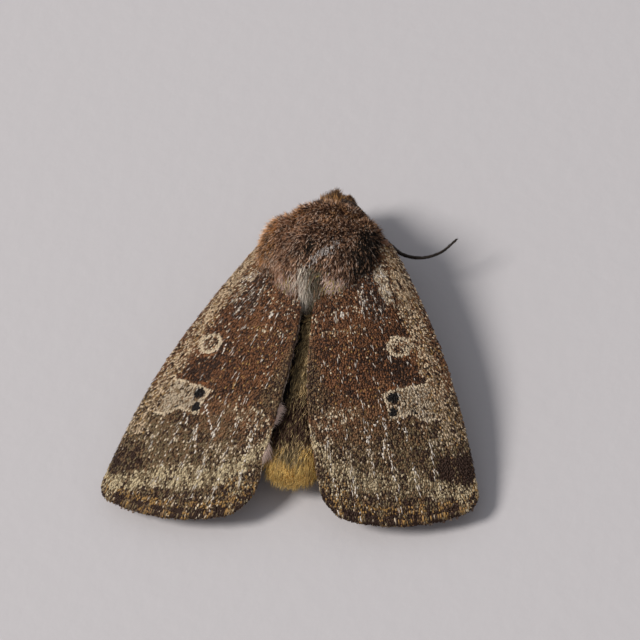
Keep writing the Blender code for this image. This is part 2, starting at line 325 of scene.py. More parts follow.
def hair_tuft(rings=2, taper=0.7):
    """A lock of hair: a three-sided spike in a few rings, which keeps its width for most of its length."""
    bm = bmesh.new()
    bmesh.ops.create_cone(bm, segments=3, radius1=0.5, radius2=0, depth=1, cap_ends=True)
    bmesh.ops.rotate(bm, cent=(0, 0, 0), matrix=Matrix.Rotation(-math.pi / 2, 3, "X"), verts=bm.verts)
    bmesh.ops.translate(bm, vec=(0, 0.5, 0), verts=bm.verts)
    for i in range(1, rings):
        cut = {"plane_co": (0, i / rings, 0), "plane_no": (0, 1, 0), "dist": 1e-5}
        bmesh.ops.bisect_plane(bm, geom=[*bm.verts, *bm.edges, *bm.faces], **cut)
    bmesh.ops.recalc_face_normals(bm, faces=bm.faces)
    for vert in bm.verts:
        y = vert.co.y
        if 1e-4 < y < 1 - 1e-4:
            swell = (1 - taper * y) / (1 - y)
            vert.co.x *= swell
            vert.co.z *= swell
    return template(bm)


SCALE, HAIR = scale_tuft(), hair_tuft()
print("faces of a scale:", len(SCALE[2]), "and of a lock of hair:", len(HAIR[2]))


# %% Stamping a coat
PATCH = 0.003  # the size of a tuft on the UV map


def tousled(lie, out, amount):
    """Turns each direction a little to one side or the other."""
    return lie + np.cross(lie, out) * DICE.normal(0, amount, (len(lie), 1))


def uneven(size, count, spread):
    """One size for each tuft. A spread of 0 leaves the sizes as they are."""
    return size * (1 + DICE.uniform(-spread, spread, count)) if spread else np.broadcast_to(size, count)


def coat(name, tuft, bed, lie, size, finish, slot, notes=None, flat=0.5, lift=0.1, curl=1.0,
         turn=0.0, spread=(0.2, 0.2, 0.6)):
    """Stamps a tuft at every root of a bed, as one mesh.

    A bed is the roots, the directions out of and along the skin, and the places on its UV map. lie is
    the direction of the coat, size the length and width of a tuft, and flat its thickness as a share
    of its width. lift is how far a tip stands off, and a curl above 1 keeps it low for longer. turn is
    how far tufts stray from the lie, and spread how uneven their length, width and lift are. notes
    are what the shader reads, one row for each root.
    """
    roots, out, _, patch = bed
    points, corners, starts = tuft
    count, corner_count = len(roots), len(points)
    if turn:
        lie = tousled(lie, out, turn)
    lie = unit(lie - out * (lie * out).sum(-1, keepdims=True))
    across = np.cross(lie, out)
    x, y, z = points.T[:, None, :, None]
    sizes = [uneven(value, count, share) for value, share in zip((*size, lift), spread)]
    length, width, lift = (value[:, None, None] for value in sizes)
    places = (roots[:, None] + across[:, None] * (x * width) + lie[:, None] * (y * length)
              + out[:, None] * (z * width * flat + y**curl * lift))
    mesh = bpy.data.meshes.new(name)
    mesh.vertices.add(count * corner_count)
    mesh.vertices.foreach_set("co", to_metres(places).astype(np.float32).ravel())
    loops = (corners[None] + np.arange(count)[:, None] * corner_count).ravel()
    mesh.loops.add(len(loops))
    mesh.loops.foreach_set("vertex_index", loops.astype(np.int32))
    mesh.polygons.add(count * len(starts))
    face_starts = (starts[None] + np.arange(count)[:, None] * len(corners)).ravel()
    mesh.polygons.foreach_set("loop_start", face_starts.astype(np.int32))
    mesh.update(calc_edges=True)
    mesh.shade_smooth()
    patches = patch[:, None] + PATCH * (points[corners][:, :2] - (0, 0.5))
    mesh.uv_layers.new(name="OFBake").data.foreach_set("uv", patches.astype(np.float32).ravel())
    rows = {"root": roots, "tone": DICE.random((count, 3)), **(notes or {})}
    write_notes(mesh, {key: np.repeat(value, corner_count, axis=0) for key, value in rows.items()})
    write_notes(mesh, {"tip": np.tile(points[:, 1], count)})
    new_piece(name, mesh, finish, slot)


# %% [markdown]
# ## The forewings' shape
#
# A resting noctuid folds its forewings back like a low roof. Each is a four-cornered sheet: the
# costa is its thick outer edge, the termen its outer end, and the inner edges meet over the back.
# The same sheet as in the solids is worked out here for whole arrays of points, so that the skin,
# the scales and the fringe all follow it. `wing_chart` lays the sheet flat, in millimetres from the
# hinge along the costa and inwards from it, and the wing's pattern is drawn on that chart.

# %% The wing sheet
ROOT_FRONT, ROOT_REAR = np.array([3.4, 1.4, 3.7]), np.array([0.4, -2.6, 4.5])
APEX, TORNUS = np.array([9.6, -13.0, 1.0]), np.array([1.75, -13.7, 1.4])
LEFT_APEX_SHIFT = np.array([0.55, 0.35, 0.0])
COSTA_BULGE, INNER_BULGE, TERMEN_BULGE = 0.62, 0.45, 0.95
APEX_ROUNDING, TORNUS_ROUNDING = 1.1, 1.5
CAMBER, ARCH, COSTA_ROLL = 0.35, 0.65, 0.2
VEINS, VEIN_RISE = 8, 0.03


def corner_cut(v, rounding, span):
    return rounding * (1 - np.sqrt(1 - np.maximum(0, 1 - v * span / rounding) ** 2))


def wing_sheet(u, v, side):
    """Points of a forewing's upper face: u from root to outer end, v from the costa inwards."""
    u, v = np.asarray(u, float)[..., None], np.asarray(v, float)[..., None]
    bow = np.clip(u, 0, 1)
    apex = APEX + (LEFT_APEX_SHIFT if side < 0 else 0)
    root, tip = blend(ROOT_FRONT, ROOT_REAR, v), blend(apex, TORNUS, v)
    span = np.linalg.norm(TORNUS - apex)
    drawn_in = corner_cut(v, APEX_ROUNDING, span) + corner_cut(1 - v, TORNUS_ROUNDING, span)
    end = tip + unit(tip - root) * (TERMEN_BULGE * (1 - (2 * v - 1) ** 2) - drawn_in)
    points = blend(root, end, u)
    costa = apex - ROOT_FRONT
    beyond = unit(np.array([-costa[1], costa[0], 0]))
    arch = np.sin(np.pi * bow) ** 0.8
    points = points + beyond * (COSTA_BULGE * arch * (1 - v) ** 2)
    points[..., 0] -= (INNER_BULGE * arch * v**2)[..., 0]
    rise = CAMBER * (1 - (2 * v - 1) ** 2) * np.sin(np.pi * (0.25 + 0.75 * bow))
    rise += ARCH * (0.5 + 0.5 * v) * np.sin(np.pi * bow**1.4)
    rise -= COSTA_ROLL * np.maximum(0, 1 - v / 0.12) ** 2
    rise += VEIN_RISE * np.cos(np.pi * (v * VEINS % 1)) ** 8 * eased(u, 0.3, 0.6)
    points[..., 2] += rise[..., 0]
    points[..., 0] *= side
    return points


def wing_chart(u, v):
    """The place on the flat chart, and the distance that is left to the wing's outer end."""
    flat = wing_sheet(u, v, 1) - ROOT_FRONT
    left = np.linalg.norm(wing_sheet(np.ones_like(u), v, 1) - ROOT_FRONT - flat, axis=-1)
    along = unit((APEX - ROOT_FRONT)[:2])
    inward = np.array([along[1], -along[0]])
    return np.stack([flat[..., :2] @ along, flat[..., :2] @ inward, left], -1)


print("wing chart reaches", wing_chart(np.ones(3), np.array([0, 0.5, 1])).round(1).tolist())

# %% [markdown]
# ## The forewings' skin
#
# Under its scales a wing is a thin double film stretched over veins. It is made here as one closed
# skin, like a tube pressed flat: the grid goes over the top from the costa to the inner edge and back
# underneath. A single sheet with a Solidify modifier would do too, but this one has round rims and one
# UV map. It lies a little below the solid's face, so that the scales end where the solid does.

# %% Wing skins
SKIN_DROP, SKIN_THICK = 0.06, 0.14
SKIN_REACH, SKIN_MARGIN = (-0.02, 0.965), 0.012


def flat_tube(sheet, thick):
    """The shape of a thin closed skin round a sheet(u, v): above it for v below a half, and back below it."""
    def shape(u, v):
        across = 1 - np.abs(2 * v - 1)
        half = thick / 2 * np.sin(np.pi * across) ** 0.3 * np.sin(np.pi * u) ** 0.15
        points = sheet(u, across)
        points[..., 2] += np.where(v < 0.5, half, -half)
        return points
    return shape


def on_sheet(u, across):
    """Where a place of the skin lies on the wing sheet, which reaches slightly further."""
    return blend(*SKIN_REACH, u), blend(SKIN_MARGIN, 1 - SKIN_MARGIN, across)


def on_skin(u):
    """Where a place of the wing sheet lies along the skin: what on_sheet does, turned round."""
    return (u - SKIN_REACH[0]) / (SKIN_REACH[1] - SKIN_REACH[0])


def wing_notes(u, v, under):
    return {"root": wing_chart(u, v), "fan": v, "under": under}


def skin_notes(u, v):
    return wing_notes(*on_sheet(u, 1 - np.abs(2 * v - 1)), (v > 0.5) * 1.0)


print("skin is", SKIN_THICK, "mm thick and", SKIN_DROP, "mm below the sheet")

# %% [markdown]
# ## The wing's scales
#
# A moth's scales sit in rows like roof tiles, each overlapping the next. A real wing has tens of
# thousands. Here each wing has about as many as the eye can tell apart at this size. Their roots
# are laid out row by row with a little unevenness, and they point from the body to the outer edge.
# A particle system could scatter them, but rows and the wing's own chart are simpler to keep.

# %% Beds for the wing's scales
WING_LENGTH = 14.3


def sheet_bed(u, v, side, face):
    """A bed for tufts at these places of a wing sheet, on its upper face (1) or its under face (-1)."""
    near = 0.004
    along = wing_sheet(u + near, v, side) - wing_sheet(u - near, v, side)
    around = wing_sheet(u, np.minimum(v + near, 1), side) - wing_sheet(u, np.maximum(v - near, 0), side)
    out = unit(np.cross(along, around))
    out *= np.sign(out[:, 2:]) * face
    depth = SKIN_DROP if face > 0 else SKIN_DROP + SKIN_THICK
    roots = wing_sheet(u, v, side) - (0, 0, depth)
    patch = np.stack([on_skin(u).clip(0, 1), v / 2 if face > 0 else 1 - v / 2], -1)
    return roots, out, unit(along), patch


def scale_rows(side, row_pitch, column_pitch):
    """Shares (u, v) of scales that lie in rows across a wing."""
    spots = []
    for row, u in enumerate(np.arange(0.0, 0.985, row_pitch / WING_LENGTH)):
        width = np.linalg.norm(wing_sheet(u, 1.0, side) - wing_sheet(u, 0.0, side))
        count = int(width / column_pitch)
        v = (np.arange(count) + 0.5 * (row % 2) + DICE.uniform(-0.3, 0.3, count)) / count
        shift = DICE.uniform(-0.4, 0.4, count) * row_pitch / WING_LENGTH
        spots.append(np.stack([u + shift, v.clip(0.004, 0.996)]))
    return np.concatenate(spots, axis=1)


def rim_bed(side, count):
    """A bed along a wing's two long edges, facing outwards from them."""
    u = DICE.uniform(0, SKIN_REACH[1], count)
    inner = DICE.random(count) < 0.5
    v = np.where(inner, 1 - SKIN_MARGIN, SKIN_MARGIN)
    height = DICE.uniform(-1, 1, count)
    roots = wing_sheet(u, v, side) - (0, 0, SKIN_DROP + SKIN_THICK / 2)
    roots[:, 2] += height * SKIN_THICK / 2
    along = unit(wing_sheet(u + 0.01, v, side) - wing_sheet(u - 0.01, v, side))
    outward = unit(np.cross(along, (0, 0, 1))) * np.where(inner, -side, side)[:, None]
    out = unit(outward + height[:, None] * (0, 0, 0.8))
    return (u, v), (roots, out, along, np.stack([on_skin(u), inner * 0.5], -1))


# %% The coats of a wing
# Each layer: its name, the wing face that it covers, the stretch from the costa (0) to the inner edge (1),
# the pitch of its rows and within a row, and the length and width of a scale.
SCALE_LAYERS = (
    ("outer_scales", 1, (0.0, 0.5), (0.080, 0.068), (0.25, 0.098)),
    ("inner_scales", 1, (0.5, 1.0), (0.080, 0.068), (0.25, 0.098)),
    ("under_scales", -1, (0.0, 1.0), (0.15, 0.12), (0.34, 0.16)),
)
BASE_HAIRS, VEIN_SCALES, RIM_SCALES = 600, 300, 1800


def lay_scales(side, label, finish):
    for name, face, stretch, pitch, (length, width) in SCALE_LAYERS:
        u, v = scale_rows(side, *pitch)
        left = wing_chart(u, v)[:, 2]
        kept = (left > 0.42) & (v >= stretch[0]) & (v < stretch[1])
        u, v, count = u[kept], v[kept], kept.sum()
        bed = sheet_bed(u, v, side, face)
        # A scale shows its outer half, so its colour is read there.
        notes = wing_notes(u + 0.7 * length / WING_LENGTH, v, np.full(count, float(face < 0)))
        coat(f"wing_{name}_{label}", SCALE, bed, bed[2], (length, width), finish, "forewing", notes,
             flat=0.12, lift=0.05, turn=0.12)


def lay_base_hair(side, label, finish):
    """Long pale and dark hairs lie over the wing's base."""
    count = BASE_HAIRS
    u, v = DICE.uniform(0.01, 0.24, count), DICE.uniform(0.02, 0.5, count)
    bed = sheet_bed(u, v, side, 1)
    notes = wing_notes(u + 0.02, v, np.zeros(count))
    coat(f"wing_base_hair_{label}", HAIR, bed, bed[2], (0.65, 0.05), finish, "forewing", notes,
         lift=0.07, turn=0.12, spread=(0.3, 0.2, 0.5))


def lay_vein_scales(side, label, finish):
    """Thin white scales lie in dashes along the veins. A fan above 1 marks them for the shader."""
    count = VEIN_SCALES
    u = DICE.uniform(0.12, 0.94, count)
    v = (DICE.integers(1, VEINS, count) + DICE.normal(0, 0.08, count)) / VEINS
    bed = sheet_bed(u, v, side, 1)
    notes = {**wing_notes(u, v, np.zeros(count)), "fan": v + 1}
    coat(f"wing_vein_scales_{label}", HAIR, bed, bed[2], (0.40, 0.072), finish, "forewing", notes,
         flat=0.4, lift=0.13, turn=0.06, spread=(0.4, 0.2, 0.3))


def lay_rim_scales(side, label, finish):
    """Scales stand outwards from the two long edges, so that no bare rim shows."""
    spots, bed = rim_bed(side, RIM_SCALES)
    notes = wing_notes(*spots, np.zeros(RIM_SCALES))
    coat(f"wing_rim_scales_{label}", SCALE, bed, bed[2], (0.26, 0.10), finish, "forewing", notes,
         flat=0.12, lift=0.03, turn=0.1)


def dress_wing(side, label, finish):
    def skin_sheet(u, across):
        return wing_sheet(*on_sheet(u, across), side) - (0, 0, SKIN_DROP + SKIN_THICK / 2)

    skin = finish_mesh(bent_grid([flat_tube(skin_sheet, SKIN_THICK)], 150, 160), "wing_skin", skin_notes)
    new_piece(f"wing_skin_{label}", skin, finish, "forewing", [f"forewing_{label}"])
    for lay in (lay_scales, lay_base_hair, lay_vein_scales, lay_rim_scales):
        lay(side, label, finish)


# %% The fringe
FRINGE_ROWS = ((0.62, 260), (0.52, 300), (0.42, 300), (0.36, 300))


def dress_fringe(side, label, finish):
    """Long narrow scales in a few rows along the outer edge, which they make slightly scalloped."""
    u, v, reach = [], [], []
    length = np.linalg.norm(wing_sheet(1.0, 0.5, 1) - wing_sheet(0.0, 0.5, 1))
    for left, count in FRINGE_ROWS:
        spot = ((np.arange(count) + DICE.uniform(-0.5, 0.5, count)) / count).clip(0.002, 0.998)
        scallop = 1 - 0.13 * np.sin(np.pi * (spot * VEINS % 1))
        v.append(spot)
        u.append(1 - left / length + DICE.uniform(-0.004, 0.004, count))
        reach.append(left * scallop * DICE.uniform(0.88, 1.04, count))
    u, v, reach = (np.concatenate(values) for values in (u, v, reach))
    bed = sheet_bed(u, v, side, 1)
    notes = wing_notes(u, v, np.zeros(len(u)))
    coat(f"wing_fringe_{label}", SCALE, bed, bed[2], (reach, 0.085), finish, "forewing", notes,
         flat=0.15, lift=0.04, turn=0.06, spread=(0, 0.2, 0.8))


# %% [markdown]
# ## The wing's finish
#
# The pattern is drawn on the wing chart as a few soft shapes: a pale flecked costa, a ring called the
# orbicular, the kidney-shaped reniform with its black spots, a pale band before the outer edge and dark
# marks along it. Each shape only sets how likely a scale is to be pale or dark there. The scale's own
# random numbers decide, so the marks break up into single scales as they do on a real wing.

# %% Soft marks on a chart
def band(value, low, high, soft):
    return step(value, low - soft, low + soft) * step(value, high + soft, high - soft)


def blot(spot, centre, half, soft=0.5):
    """A soft oval. spot is the two coordinates that it is drawn in, as in a stroke."""
    dx, dy = ((value - middle) / size for value, middle, size in zip(spot, centre, half))
    return step(dx * dx + dy * dy, 1 + soft, 1 - soft)


def stroke(spot, start, end, half_width, soft=0.05):
    """A straight line from start to end."""
    length = math.dist(start, end)
    ax, ay = (end[0] - start[0]) / length, (end[1] - start[1]) / length
    dx, dy = spot[0] - start[0], spot[1] - start[1]
    along, off = dx * ax + dy * ay, dx * ay - dy * ax
    return band(along, 0, length, soft) * band(off, -half_width, half_width, soft)


def most(*masks):
    strongest = masks[0]
    for mask in masks[1:]:
        strongest = strongest.math("MAXIMUM", mask)
    return strongest


# %% What is known at a scale
def read_chart(wing):
    """The place of a scale on the chart, its random numbers, and how ragged and clumped marks are there."""
    at = SimpleNamespace()
    place = wing.attribute("root", "Vector")
    s, at.t, at.left = split(place)
    at.fan, at.tip, at.under = (wing.attribute(name) for name in ("fan", "tip", "under"))
    at.luck, at.second_luck, at.shade = split(wing.attribute("tone", "Vector"))
    ragged_s, ragged_t, at.patchy = split(noise(place, 1.5, 3.0, out="Color"))
    at.blotchy = noise(place, 0.55)
    at.clump = step(noise(join(s * 2.4, at.t * 6.0), 1.0, 1.0), 0.38, 0.60)
    at.here = s + (ragged_s - 0.5) * 0.8, at.t + (ragged_t - 0.5) * 0.8
    at.near = s + (ragged_s - 0.5) * 0.22, at.t + (ragged_t - 0.5) * 0.22
    at.vein = (at.fan * VEINS).math("PINGPONG", 0.5)
    at.on_vein = step(at.vein, 0.07, 0.02)
    # Painted shade: the right wing is darker and duller towards its end. The right wing is also greyer at its
    # base.
    at.right = split(wing.node("TexCoord", out="Object"))[0] > 0
    at.dull = at.right * step(at.here[0], 8.6, 11.4)
    return at


# %% The costa, the wing's base and the flecked lines across the disc
def disc_marks(at):
    here = x, y = at.here
    at.costa = step(y, 0.95, 0.4) * step(y, -0.5, 0.1, (0.3, 1.0)) * band(x, 0.3, 12.3, 0.4)
    at.grey_base = blot(here, (2.8, 1.05), (1.3, 0.33))
    at.dark_base = blot(here, (3.0, 1.8), (2.0, 0.7))
    at.base_flecks = step(x, 5.0, 3.2) * step(y, 1.6, 2.4)
    at.antemedian = band(x + y * 0.25, 5.7, 6.1, 0.25) * step(y, 2.0, 3.0)
    at.postmedian = most(blot(here, (9.4, 5.4), (0.55, 1.3)), blot(here, (11.0, 6.1), (0.9, 0.6)))
    at.warm_disc = blot(here, (7.0, 3.9), (2.4, 1.7), 0.8)
    at.dark_patch = most(blot(here, (7.9, 1.75), (0.9, 0.6)), blot(here, (7.4, 2.2), (1.5, 0.35)))
    at.inner_margin = step(y, 5.0, 5.8) * step(x, 9.4, 8.6)


# %% The round spot and the kidney spot
def spot_marks(at):
    x, y = at.near
    # The orbicular is a pale ring round a flecked middle.
    off_x, off_y = x - 6.54, y - 1.33
    radius = (off_x * off_x + off_y * off_y).math("SQRT")
    at.ring, at.ring_middle = band(radius, 0.39, 0.61, 0.03), step(radius, 0.40, 0.34)
    # The reniform has a pale outline, open at the costa, and black spots at its inner end.
    outer = step(y, 1.85, 1.15, (10.35, 10.92))
    inset = (x - 8.82).math("MINIMUM", outer - x)
    inset = inset.math("MINIMUM", 2.88 - y)
    at.kidney = step(inset, -0.02, 0.04) * step(at.t, 0.35, 0.8)
    at.outline = at.kidney * step(inset, 0.19, 0.13)
    at.spots = most(
        blot(at.near, (9.20, 2.38), (0.27, 0.30), 0.2),
        blot(at.near, (9.93, 2.62), (0.24, 0.20), 0.2),
        stroke(at.near, (10.12, 1.75), (10.35, 1.50), 0.05),
    )
    at.spark = blot(at.near, (8.70, 2.3), (0.08, 0.17), 0.3)


# %% The marks of the outer end
def end_marks(at):
    """The pale band before the outer edge, the dark wedge on it at the costa, and what lies beyond it."""
    x, y = at.here
    band_line = (y * 0.60 + 0.60).math("MINIMUM", (y - 5.0).math("MAXIMUM", 0.0) * 0.3 + 2.2)
    from_band = at.left - band_line
    across_band = from_band / 0.60
    at.pale_band = band(across_band, -1, 1, 0.45)
    at.wedge = band(from_band, 0.45, 2.1, 0.25) * step(y + from_band * 0.55, 2.7, 1.8)
    at.beyond = step(across_band, -0.8, -1.3) * step(y, 1.6, 2.8)
    at.rust_line = band(at.left, 0.60, 1.00, 0.08)
    at.lunule = band(at.left, 0.38, 0.62, 0.06) * step(at.vein, 0.12, 0.25)
    at.fringe = step(at.left, 0.46, 0.38)
    at.tornus = blot(at.here, (12.8, 6.6), (0.9, 0.8))
    # Towards the outer edge scales are paler along the veins than between them.
    at.ribs = step(x, 9.4, 11.2) * (1 - at.kidney) * (step(at.vein, 0.26, 0.12) - 0.5)


# %% How likely a scale is to be white, pale or dark
# Veins that are picked out in white, and a few white dashes near the base: start, end and half width.
WHITE_STROKES = (
    ((9.6, 3.0), (11.0, 4.3), 0.03),
    ((10.6, 3.15), (12.0, 3.8), 0.03),
    ((10.5, 2.45), (11.0, 2.67), 0.02),
    ((2.2, 1.95), (4.1, 2.4), 0.02),
    ((5.8, 2.0), (7.2, 2.4), 0.01),
)


def white_share(at):
    x, y = at.here
    return most(
        *(stroke(at.near, *line, 0.03) for line in WHITE_STROKES),
        blot(at.near, (4.3, 1.63), (0.16, 0.09), 0.4),
        blot(at.near, (4.1, 3.5), (0.2, 0.1), 0.4),
        at.on_vein * band(x, 9.8, 14.0, 0.4) * step(y, 1.4, 2.2) * 0.24,
        (at.fan > 1.0) * step(y, 0.8, 1.4) * step(at.patchy, 0.34, 0.50) * 0.9,
        at.grey_base * (0.18 + 0.25 * at.right) * at.clump,
        at.dark_base * 0.045,
    )


def pale_share(at):
    """Most pale scales lie in clumps."""
    x, y = at.here
    costa = at.costa * step(x, 4.5, 6.0, (1.0, 0.75)) * step(x, 0.8, 2.4, (0.6, 1.0))
    apex = band(x, 11.2, 12.6, 0.4) * step(y, 2.0, 1.2)
    clumped = most(at.base_flecks * 0.12, at.antemedian * 0.25, at.postmedian * 0.42, at.tornus * 0.35,
                   apex * 0.35, blot(at.here, (12.1, 5.0), (1.2, 0.9)) * 0.4, at.beyond * 0.11,
                   band(x, 11.0, 13.4, 0.5) * 0.10)
    share = most(
        clumped * at.clump,
        costa * (0.28 + 0.50 * at.clump),
        at.pale_band * (0.30 + 0.52 * at.clump),
        at.grey_base * (0.25 + 0.25 * at.right),
        at.ring * 0.97,
        at.ring_middle * 0.35,
        # Painted shade: the kidney is a little less pale on the right wing.
        at.kidney * (0.64 - 0.06 * at.right),
        at.outline * 0.99,
        step(at.patchy, 0.42, 0.62) * 0.02 + 0.004,
    )
    covered = most(at.spots, at.wedge * 0.88, at.fringe, at.lunule * 0.8)
    # Painted shade: fewer pale scales at the right wing's outer end.
    dulled = at.dull * (0.12 + 0.28 * band(y, 2.4, 4.8, 0.7))
    return share * (1 - covered) * (1 - dulled) * (1 + at.ribs * 0.5)


def dark_share(at, pale):
    share = most(
        at.spots,
        at.dark_base * 0.60,
        # Painted shade: the wedge is darker on the right wing.
        at.wedge * (0.58 + 0.30 * at.right),
        # Painted shade: more dark scales at the right wing's outer end.
        at.dull * (1 - at.pale_band) * 0.30,
        at.dark_patch * 0.70,
        at.ring_middle * 0.5,
        at.kidney * 0.25,
        at.lunule * 0.9,
        at.fringe * 0.62,
        at.beyond * (0.48 - 0.25 * at.rust_line),
        at.inner_margin * 0.4,
        at.base_flecks * 0.35,
        step(at.blotchy, 0.62, 0.40) * 0.28 + 0.10,
    )
    return share * (1 - pale * 0.75) * (1 - at.ribs * 0.4)


# %% The colour of a scale
MAHOGANY, RUST, DARK_SCALE = (0.135, 0.054, 0.024), (0.29, 0.122, 0.050), (0.045, 0.021, 0.012)
CREAM, OLIVE_CREAM, WHITE = (0.80, 0.64, 0.44), (0.68, 0.545, 0.32), (0.86, 0.76, 0.65)
OCHRE, GREY_BROWN, BLACK = (0.40, 0.225, 0.072), (0.26, 0.195, 0.15), (0.012, 0.009, 0.008)
COSTA_CREAM, TAN, OLIVE_BROWN = (0.78, 0.57, 0.36), (0.37, 0.265, 0.15), (0.20, 0.155, 0.082)
SPARK, UNDER_BROWN, UNDER_BUFF = (0.36, 0.13, 0.04), (0.20, 0.13, 0.095), (0.46, 0.34, 0.26)


def ground_colour(at, pale):
    """Mahogany to rust, tan where many scales are pale, olive towards the end, and ochre at the edge."""
    warm = step(at.shade + (at.blotchy - 0.5) * 0.8, 0.2, 1.1)
    olive = most(step(at.here[0] + (at.patchy - 0.5) * 5, 8.0, 12.0), at.inner_margin * 0.8)
    colour = mix(warm, MAHOGANY, RUST)
    colour = mix(olive * (0.3 + 0.65 * at.luck), colour, OLIVE_BROWN)
    ochre = most(at.rust_line * 0.5, at.fringe * step(at.vein, 0.22, 0.1) * 0.8, at.tornus * 0.4,
                 at.costa * 0.2, at.antemedian * 0.15, at.beyond * at.on_vein * 0.4, at.warm_disc * 0.06)
    colour = mix(at.shade < ochre, colour, OCHRE)
    colour = mix(pale * (1 - at.outline) * 0.8, colour, TAN)
    return mix(at.second_luck < at.dark_base * 0.14, colour, GREY_BROWN)


def pale_colour(at):
    """Cream, more olive in the pale band and at the inner edge, worn here and there, and greyed by painted
    shade at the right wing's outer end.
    """
    colour = mix(most(at.pale_band, at.tornus, at.inner_margin * 0.8) * 0.85, CREAM, OLIVE_CREAM)
    colour = mix(at.costa * (1 - at.kidney) * 0.8, colour, COSTA_CREAM)
    worn_and_shaded = most(step(at.shade, 0.0, 1.0, (0.35, 0.0)), (at.kidney - at.outline) * 0.42)
    # Pale scales are greyed at random as wear, and at the right wing's outer end as painted shade.
    worn_and_shaded = most(worn_and_shaded * (1 - most(at.ring, at.outline) * 0.8), at.dull * 0.30)
    return mix(worn_and_shaded, colour, GREY_BROWN)


def wing_finish():
    wing = Finish("wing_scales", Roughness=0.55, Specular_IOR_Level=0.3)
    at = read_chart(wing)
    for draw in (disc_marks, spot_marks, end_marks):
        draw(at)
    pale = pale_share(at)
    colour = mix((1 - at.second_luck) < dark_share(at, pale), ground_colour(at, pale), DARK_SCALE)
    colour = mix(at.luck < pale, colour, pale_colour(at))
    colour = mix((1 - at.luck) < white_share(at), colour, WHITE)
    colour = mix(at.spots, colour, BLACK)
    colour = mix(at.spark * 0.6, colour, SPARK)
    under = mix(step(at.shade, 0.2, 0.9), UNDER_BROWN, UNDER_BUFF)
    colour = mix(at.under, colour, under)
    # Painted shade: each scale darkens towards its root, under the scales that overlap it.
    colour = mix(step(at.tip, 0.5, 0.0) * 0.35, colour, MAHOGANY)
    return wing.wear(Base_Color=colour)


# %% The two forewings
wing_scales = wing_finish()
for side, label in SIDES:
    dress_wing(side, label, wing_scales)
    dress_fringe(side, label, wing_scales)

# %% [markdown]
# ## The body's shape
#
# Head, collar, thorax, abdomen and tail are one skin here, so that no seam shows. The shape is worked
# out by looking outwards from a line along the moth's middle: at each place, a ray leaves the line and
# the skin lies where the ray leaves the last rounded form. Forms that overlap are blended. Metaballs or
# a remeshed union would blend as well, but the rays give a clean grid with a UV map. Each
# form is the solid's, made smaller by the depth of the fur that will cover it.

# %% Rounded forms under the fur
FUR_DEPTH, HEAD_FUR_DEPTH = 0.27, 0.22
FULLNESS, BLENDING = 2.25, 10
FORMS = (
    ((0, -0.35, 3.25), (2.7, 2.85, 2.35), FUR_DEPTH),
    ((0, 2.1, 3.1), (2.4, 1.7, 2.05), FUR_DEPTH),
    ((1.85, 0.5, 3.4), (1.4, 2.2, 1.5), FUR_DEPTH),
    ((-1.95, 0.7, 3.4), (1.4, 2.2, 1.5), 0.18),
    ((0, 3.85, 2.55), (1.2, 1.2, 1.2), HEAD_FUR_DEPTH),
    ((0, 4.62, 2.5), (0.55, 0.42, 0.8), 0.08),
)
ABDOMEN_START, TAIL_STARTS, ABDOMEN_END = -2.6, -10.6, -11.7
BODY_FRONT = 5.0
SEGMENT, FIRST_GROOVE = 1.45, 0.3


def exit_length(start, ray, centre, half):
    """How far along each ray the far side of a rounded form lies, or 0 where the ray misses it."""
    a, b = ray / half, (start - centre) / half
    near = np.maximum(0, -(a * b).sum(-1) / (a * a).sum(-1))

    def inside(length):
        return (np.abs(a * length[..., None] + b) ** FULLNESS).sum(-1) < 1

    hit, low, high = inside(near), near, near + 8
    for _ in range(22):
        middle = (low + high) / 2
        within = inside(middle)
        low, high = np.where(within, middle, low), np.where(within, high, middle)
    return np.where(hit, low, 0)


def abdomen_size(y):
    """Half width, half height and centre height of the abdomen's skin at a station of its length."""
    along = ((ABDOMEN_START - y) / (ABDOMEN_START + HINGE_TO_TAIL)).clip(0, 1)
    half_width = blend(1.95, 1.35, along**0.9) - 0.22
    half_height = blend(1.45, 0.65, along**1.3) - 0.10
    centre = blend(2.4, 1.45, along**1.1)
    grooves = 1 - 0.045 * eased(np.cos(2 * np.pi * (y + FIRST_GROOVE) / SEGMENT), 0.5, 1)
    rounding = (1 - (y - TAIL_STARTS) / (ABDOMEN_END - TAIL_STARTS)).clip(0, 1)
    taper = np.sqrt(((ABDOMEN_START - y) / 1.2).clip(0, 1) * (1 - (1 - rounding) ** 4))
    return half_width * taper * grooves, half_height * taper * grooves, centre


def body_surface(u, v):
    """The body's skin: u from the face to the tail, v round it from the belly."""
    y = blend(BODY_FRONT, ABDOMEN_END, 0.5 - 0.5 * np.cos(np.pi * u))
    half_width, half_height, centre = abdomen_size(y)
    axis = blend(centre, 3.0, eased(y, -4.2, -1.5))
    axis = blend(axis, 2.7, eased(y, 1.5, 3.8))
    turn = 2 * np.pi * v - np.pi / 2
    ray = np.stack([np.cos(turn), np.zeros_like(turn), np.sin(turn)], -1)
    start = np.stack([np.zeros_like(y), y, axis], -1)
    lengths = [exit_length(start, ray, np.array(c), np.array(h) - depth) for c, h, depth in FORMS]
    tiny = 1e-6
    belly = np.stack([np.zeros_like(y), y, centre], -1)
    belly_half = np.stack([half_width + tiny, np.ones_like(y), half_height + tiny], -1)
    lengths.append(exit_length(start, ray, belly, belly_half))
    length = sum(each**BLENDING for each in lengths) ** (1 / BLENDING)
    return start + ray * length[..., None]


# %% [markdown]
# ## The body's finish
#
# The fur's colours change over the body: ginger on the face and shoulders, reddish brown on the
# thorax with a pale and a dark tuft on its middle, olive brown on the abdomen and gold at its end. A
# material for each region would leave hard borders, so skin and fur share one. It reads where each
# tuft is rooted, and lets the tuft's random numbers choose between the colours of that place.

